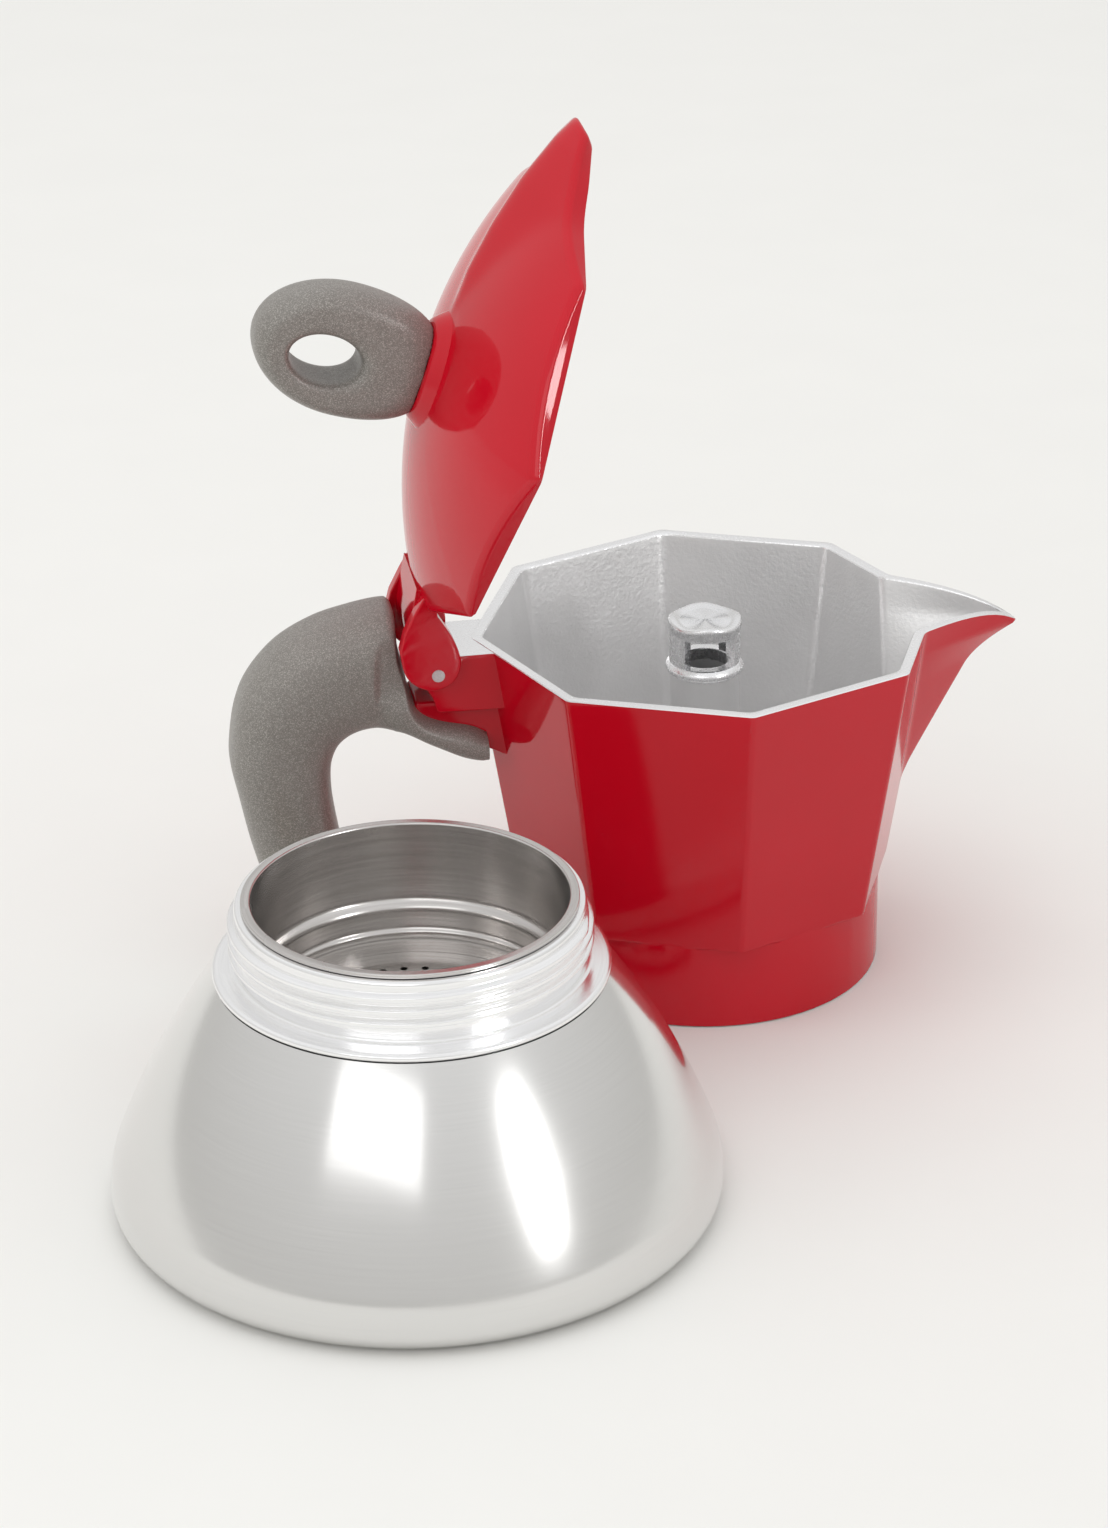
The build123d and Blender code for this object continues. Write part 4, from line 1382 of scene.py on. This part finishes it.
@dataclass
class Handle:
    """Curved grip that hooks over from the hinge and bolts up under the bracket."""

    finish: bpy.types.Material
    half_width: float = 10.4
    arm_half_width: float = 8.85
    tip_half_width: float = 4.0
    tip_share: float = 0.07
    fullness: float = 0.72

    def build(self) -> None:
        """Makes the grip: rounded sections between its outer and inner curves.

        Row s joins outer curve O(s) to inner curve I(s). Its points are middle + half span
        |cos b|^fullness, and y = half width |sin b|^fullness, each with its sign. The width grows
        like a circle's from the foot's tip, and the upper arm is cut flat at its own half width.
        """
        rows = 120
        outer = flowing([
            (-84.0, 9.7), (-88.4, 12.4), (-91.4, 20.0), (-93.6, 28.7), (-95.3, 35.5), (-97.0, 44.2),
            (-98.2, 50.6), (-98.2, 55.6), (-96.8, 63.7), (-93.9, 70.1), (-88.1, 76.5), (-80.4, 80.8),
            (-72.9, 82.9), (-66.9, 83.9), (-64.6, 83.5), (-64.2, 80.5), (-64.0, 77.1), (-63.2, 73.0),
            (-62.2, 68.3), (-61.3, 64.5), (-59.5, 61.8), (-55.8, 59.9), (-49.6, 58.4), (-46.4, 56.6),
        ], rows)
        inner = flowing([
            (-82.0, 9.7), (-77.6, 12.0), (-75.2, 18.0), (-75.6, 27.0), (-76.6, 34.5), (-77.5, 40.3),
            (-78.0, 45.0), (-77.9, 50.5), (-76.6, 54.4), (-74.2, 56.8), (-70.6, 58.0), (-66.1, 57.9),
            (-62.3, 56.9), (-56.6, 53.9), (-51.7, 51.2), (-48.2, 50.2), (-46.4, 50.4),
        ], rows)
        inner = self.paired(outer, inner)
        b = np.arange(56) * 2 * math.pi / 56
        across = signed_power(np.cos(b), self.fullness)[None, :, None]
        wide = signed_power(np.sin(b), self.fullness)[None, :]
        middle, half = (outer + inner) / 2, (outer - inner) / 2
        flat = middle[:, None] + half[:, None] * across
        run = np.linspace(0, 1, rows)
        near_tip = 1 - np.clip(run / self.tip_share, 0, 1)
        width = np.maximum(self.half_width * np.sqrt(1 - near_tip**2), self.tip_half_width)
        y = width[:, None] * wide
        back = eased(np.clip((-67.3 - flat[..., 0]) / 3.0, 0, 1))
        below = eased(np.clip((69.0 - flat[..., 1]) / 6.0, 0, 1))
        limit = self.arm_half_width + 1.6 * np.maximum(back, below)
        y = np.clip(y, -limit, limit)
        grid = np.stack([flat[..., 0], y, flat[..., 1]], -1)
        made = piece(
            "grip", at_collector(grid), Ends.CLOSED, "collector", [self.finish],
            crease_deg=60.0,
        )
        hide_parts("handle")

    def paired(self, outer: np.ndarray, inner: np.ndarray) -> np.ndarray:
        """Spaces the inner curve's points so that matching landmarks of the two curves meet.

        Args:
            outer: (rows, 2) outer curve.
            inner: (rows, 2) inner curve, evenly spaced.

        Returns:
            (rows, 2) inner curve, spaced to match.
        """
        marks_out = [
            (-84.0, 9.7), (-95.3, 35.5), (-98.2, 53.0), (-88.1, 76.5), (-72.9, 82.9),
            (-64.6, 83.2), (-62.2, 68.3), (-55.8, 59.9), (-46.4, 56.6),
        ]
        marks_in = [
            (-82.0, 9.7), (-76.9, 36.5), (-77.9, 50.5), (-75.0, 56.2), (-70.6, 58.0),
            (-68.4, 58.1), (-65.0, 57.7), (-56.6, 53.9), (-46.4, 50.4),
        ]

        def places(curve: np.ndarray, marks: list[tuple[float, float]]) -> np.ndarray:
            """Returns the share of the curve's rows at which each mark is nearest."""
            gaps = np.linalg.norm(curve[None] - np.array(marks)[:, None], axis=2)
            return np.maximum.accumulate(gaps.argmin(1)).astype(float)

        at_out, at_in = places(outer, marks_out), places(inner, marks_in)
        wanted = np.interp(np.arange(len(outer)), at_out, at_in)
        index = np.arange(len(inner))
        return np.stack([np.interp(wanted, index, inner[:, k]) for k in range(2)], 1)


@dataclass
class Seal:
    """Rubber gasket under the collector, with the filter plate it holds up."""

    rubber: bpy.types.Material

    def build(self) -> None:
        """Makes the gasket as a ring with soft edges."""
        low, high = float(low_of("gasket")[2]), float(high_of("gasket")[2])
        corners = [(26.0, low, 0.5), (32.6, low, 0.5), (32.6, high, 0.4), (26.0, high, 0.4)]
        made = piece(
            "gasket_ring", turned(rounded(corners), COLLECTOR_AXIS, 128), Ends.JOINED, "seal",
            [self.rubber],
        )
        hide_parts("gasket")


# ---- studio ----------------------------------------------------------------------------------
@dataclass(frozen=True)
class Lamp:
    """One rectangular area light.

    Args:
        name: the light's name.
        spot: where it stands, in metres.
        size: width and height, in metres.
        watts: power.
        mirrored: whether shiny surfaces show it.
        lights_up: whether it lights dull surfaces.
    """

    name: str
    spot: tuple[float, float, float]
    size: tuple[float, float]
    watts: float
    mirrored: bool = True
    lights_up: bool = True


LAMPS = (
    Lamp("overhead", (-0.2, 0.1, 1.9), (1.6, 1.6), 8.0, mirrored=False),
    Lamp("window", (0.85, -0.95, 0.5), (0.2, 0.42), 4.0, lights_up=False),
    Lamp("front_panel", (-0.6, -1.2, 0.9), (1.1, 0.45), 1.45),
    Lamp("left_panel", (-1.3, -0.3, 0.7), (0.9, 1.2), 1.8, mirrored=False),
)


@dataclass
class Studio:
    """Pale floor, soft lights and the camera."""

    floor_colour: Colour = (0.86, 0.855, 0.83)
    camera_spot: tuple[float, float, float] = (-83.6, -686.66, 421.69)
    heading: tuple[float, float] = (0.15932, 0.98723)
    pitch: float = 0.448
    roll: float = -0.012
    lens: float = 99.33
    sky: tuple[tuple[float, Colour], ...] = ((0.0, (0.72, 0.71, 0.69)), (0.75, (1.0, 1.0, 1.0)))
    sky_strength: float = 0.88
    target: tuple[float, float, float] = (0.04, 0.04, 0.05)

    def floor(self) -> None:
        """Makes the floor, a wide plane a hair under the object."""
        half, gap = 6.0, 0.0002
        low = cad_bounds[0][2] - gap
        mesh = bpy.data.meshes.new("floor")
        corners = [(x * half, y * half, low) for x, y in ((-1, -1), (1, -1), (1, 1), (-1, 1))]
        mesh.from_pydata(corners, [], [(0, 1, 2, 3)])
        material, w, shader = start_material("floor_paper")
        grain = use_group(w, "grain", Size=12.0, Depth=0.0)
        c = self.floor_colour
        tone = between(w, grain.outputs["Tone"], tuple(0.99 * k for k in c), c)
        w.join(tone, shader.inputs["Base Color"])
        shader.inputs["Roughness"].default_value = 0.9
        shader.inputs["Specular IOR Level"].default_value = 0.1
        mesh.materials.append(material)
        made = bpy.data.objects.new("floor", mesh)
        bpy.context.scene.collection.objects.link(made)

    def light(self, lamp: Lamp) -> None:
        """Adds an area light that faces the object.

        Args:
            lamp: its name, place, size and power, and what it lights.
        """
        data = bpy.data.lights.new(lamp.name, "AREA")
        data.shape = "RECTANGLE"
        data.size, data.size_y = lamp.size
        data.energy = lamp.watts
        made = bpy.data.objects.new(lamp.name, data)
        made.location = lamp.spot
        made.visible_glossy = lamp.mirrored
        made.visible_diffuse = lamp.lights_up
        aim = np.array(self.target) - np.array(lamp.spot)
        flat = math.hypot(aim[0], aim[1])
        rise = math.pi / 2 + math.atan2(aim[2], flat)
        made.rotation_euler = (rise, 0, math.atan2(aim[1], aim[0]) - math.pi / 2)
        bpy.context.scene.collection.objects.link(made)

    def camera(self) -> None:
        """Places the camera: heading along the floor, tipped down, with a slight roll."""
        hx, hy = self.heading
        c, s = math.cos(self.pitch), math.sin(self.pitch)
        forward = np.array([hx * c, hy * c, -s])
        side = np.array([hy, -hx, 0.0])
        up = np.cross(side, forward)
        cr, sr = math.cos(self.roll), math.sin(self.roll)
        right, above = side * cr + up * sr, -side * sr + up * cr
        data = bpy.data.cameras.new("camera")
        data.sensor_fit = "VERTICAL"
        data.sensor_height = 36.0
        data.lens = self.lens
        data.clip_end = 50.0
        data.dof.use_dof = False
        made = bpy.data.objects.new("camera", data)
        bpy.context.scene.collection.objects.link(made)
        basis = np.eye(4)
        basis[:3, 0], basis[:3, 1], basis[:3, 2] = right, above, -forward
        basis[:3, 3] = np.array(self.camera_spot) * METRES
        made.matrix_world = Matrix(basis.tolist())
        bpy.context.scene.camera = made

    def world(self) -> None:
        """Sets a soft, nearly white surround that darkens a little towards the horizon."""
        world = bpy.data.worlds.new("studio")
        bpy.context.scene.world = world
        world.use_nodes = True
        w = Wiring(world.node_tree)
        back = world.node_tree.nodes["Background"]
        place = w.add("ShaderNodeTexCoord")
        split = w.add("ShaderNodeSeparateXYZ")
        w.join(place.outputs["Generated"], split.inputs[0])
        ramp = w.add("ShaderNodeValToRGB")
        for stop, (place_up, colour) in zip(ramp.color_ramp.elements, self.sky):
            stop.position = place_up
            stop.color = (*colour, 1.0)
        w.join(split.outputs["Z"], ramp.inputs["Fac"])
        w.join(ramp.outputs["Color"], back.inputs["Color"])
        back.inputs["Strength"].default_value = self.sky_strength

    def build(self) -> None:
        """Sets up everything that isn't the object."""
        self.floor()
        self.world()
        for lamp in LAMPS:
            self.light(lamp)
        self.camera()
        view = bpy.context.scene.view_settings
        view.view_transform = "Standard"
        view.look = "None"


# ---- main ------------------------------------------------------------------------------------
def dress(node: str, material: bpy.types.Material) -> None:
    """Gives a CAD node that stays visible its finish."""
    thing = frame["nodes"][node]
    if thing.material_slots:
        for holder in thing.material_slots:
            holder.material = material
    else:
        thing.data.materials.append(material)
    log.info("node %s: %s", node, material.name)


def main() -> None:
    """Builds every sub-assembly in order, dresses the CAD nodes that stay, and sets the studio."""
    boiler_axis = (float(BOILER_AXIS[0]), float(BOILER_AXIS[1]))
    collector_axis = (COLLECTOR_X, COLLECTOR_Y)
    polished = TurnedMetal(
        "polished_steel", (0.725, 0.72, 0.71), (0.75, 0.745, 0.735), (0.13, 0.2), boiler_axis,
        3000.0, 0.003, coat=0.6,
    ).make()
    neck = TurnedMetal(
        "machined_aluminium", (0.92, 0.92, 0.925), (0.98, 0.98, 0.985), (0.16, 0.26), boiler_axis,
        1800.0, 0.12,
    ).make()
    spun = TurnedMetal(
        "spun_steel", (0.56, 0.54, 0.525), (0.68, 0.66, 0.645), (0.2, 0.3), boiler_axis, 1500.0, 0.15,
    ).make()
    cast = CastMetal(
        "cast_aluminium", (0.8, 0.795, 0.795), (0.9, 0.895, 0.895), (0.3, 0.42),
        grain_size=1200.0, grain_depth=0.2, drift_size=45.0, metal=0.75,
    ).make()
    cut = CastMetal(
        "cut_aluminium", (0.9, 0.9, 0.91), (0.97, 0.97, 0.98), (0.16, 0.3),
        grain_size=1600.0, grain_depth=0.12,
    ).make()
    seat = CastMetal(
        "cap_aluminium", (0.8, 0.8, 0.81), (0.92, 0.92, 0.93), (0.2, 0.32), grain_size=1300.0,
    ).make()
    enamel = Enamel("red_enamel", (0.53, 0.002, 0.012), (0.57, 0.003, 0.016)).make()
    grip = FleckedPlastic(
        "flecked_plastic", (0.185, 0.172, 0.156), (0.215, 0.2, 0.184), (0.42, 0.4, 0.37)
    ).make()
    steel = TurnedMetal(
        "turned_steel", (0.55, 0.55, 0.56), (0.72, 0.72, 0.73), (0.22, 0.32), collector_axis
    ).make()
    brass = CastMetal("turned_brass", (0.62, 0.42, 0.16), (0.76, 0.55, 0.24), (0.2, 0.34)).make()
    fibre = Rubber("fibre", (0.16, 0.04, 0.03), (0.22, 0.06, 0.04)).make()
    rubber = Rubber("seal_rubber", (0.62, 0.6, 0.56), (0.7, 0.68, 0.64)).make()
    Boiler(polished, neck).build()
    Funnel(spun).build()
    Collector(enamel, cast, cut, seat).build()
    Lid(enamel, cast).build()
    Knob(grip).build()
    Handle(grip).build()
    Seal(rubber).build()
    for node, material in (
        ("valve_washer", fibre), ("valve_body", brass), ("valve_ball", steel), ("valve_pin", brass),
        ("valve_spring", steel), ("valve_cap", brass), ("strainer_plate", spun),
        ("filter_plate", seat), ("hinge_pin", steel), ("knob_screw", steel), ("handle_screw", steel),
    ):
        dress(node, material)
    Studio().build()


if __name__ == "__main__":
    main()
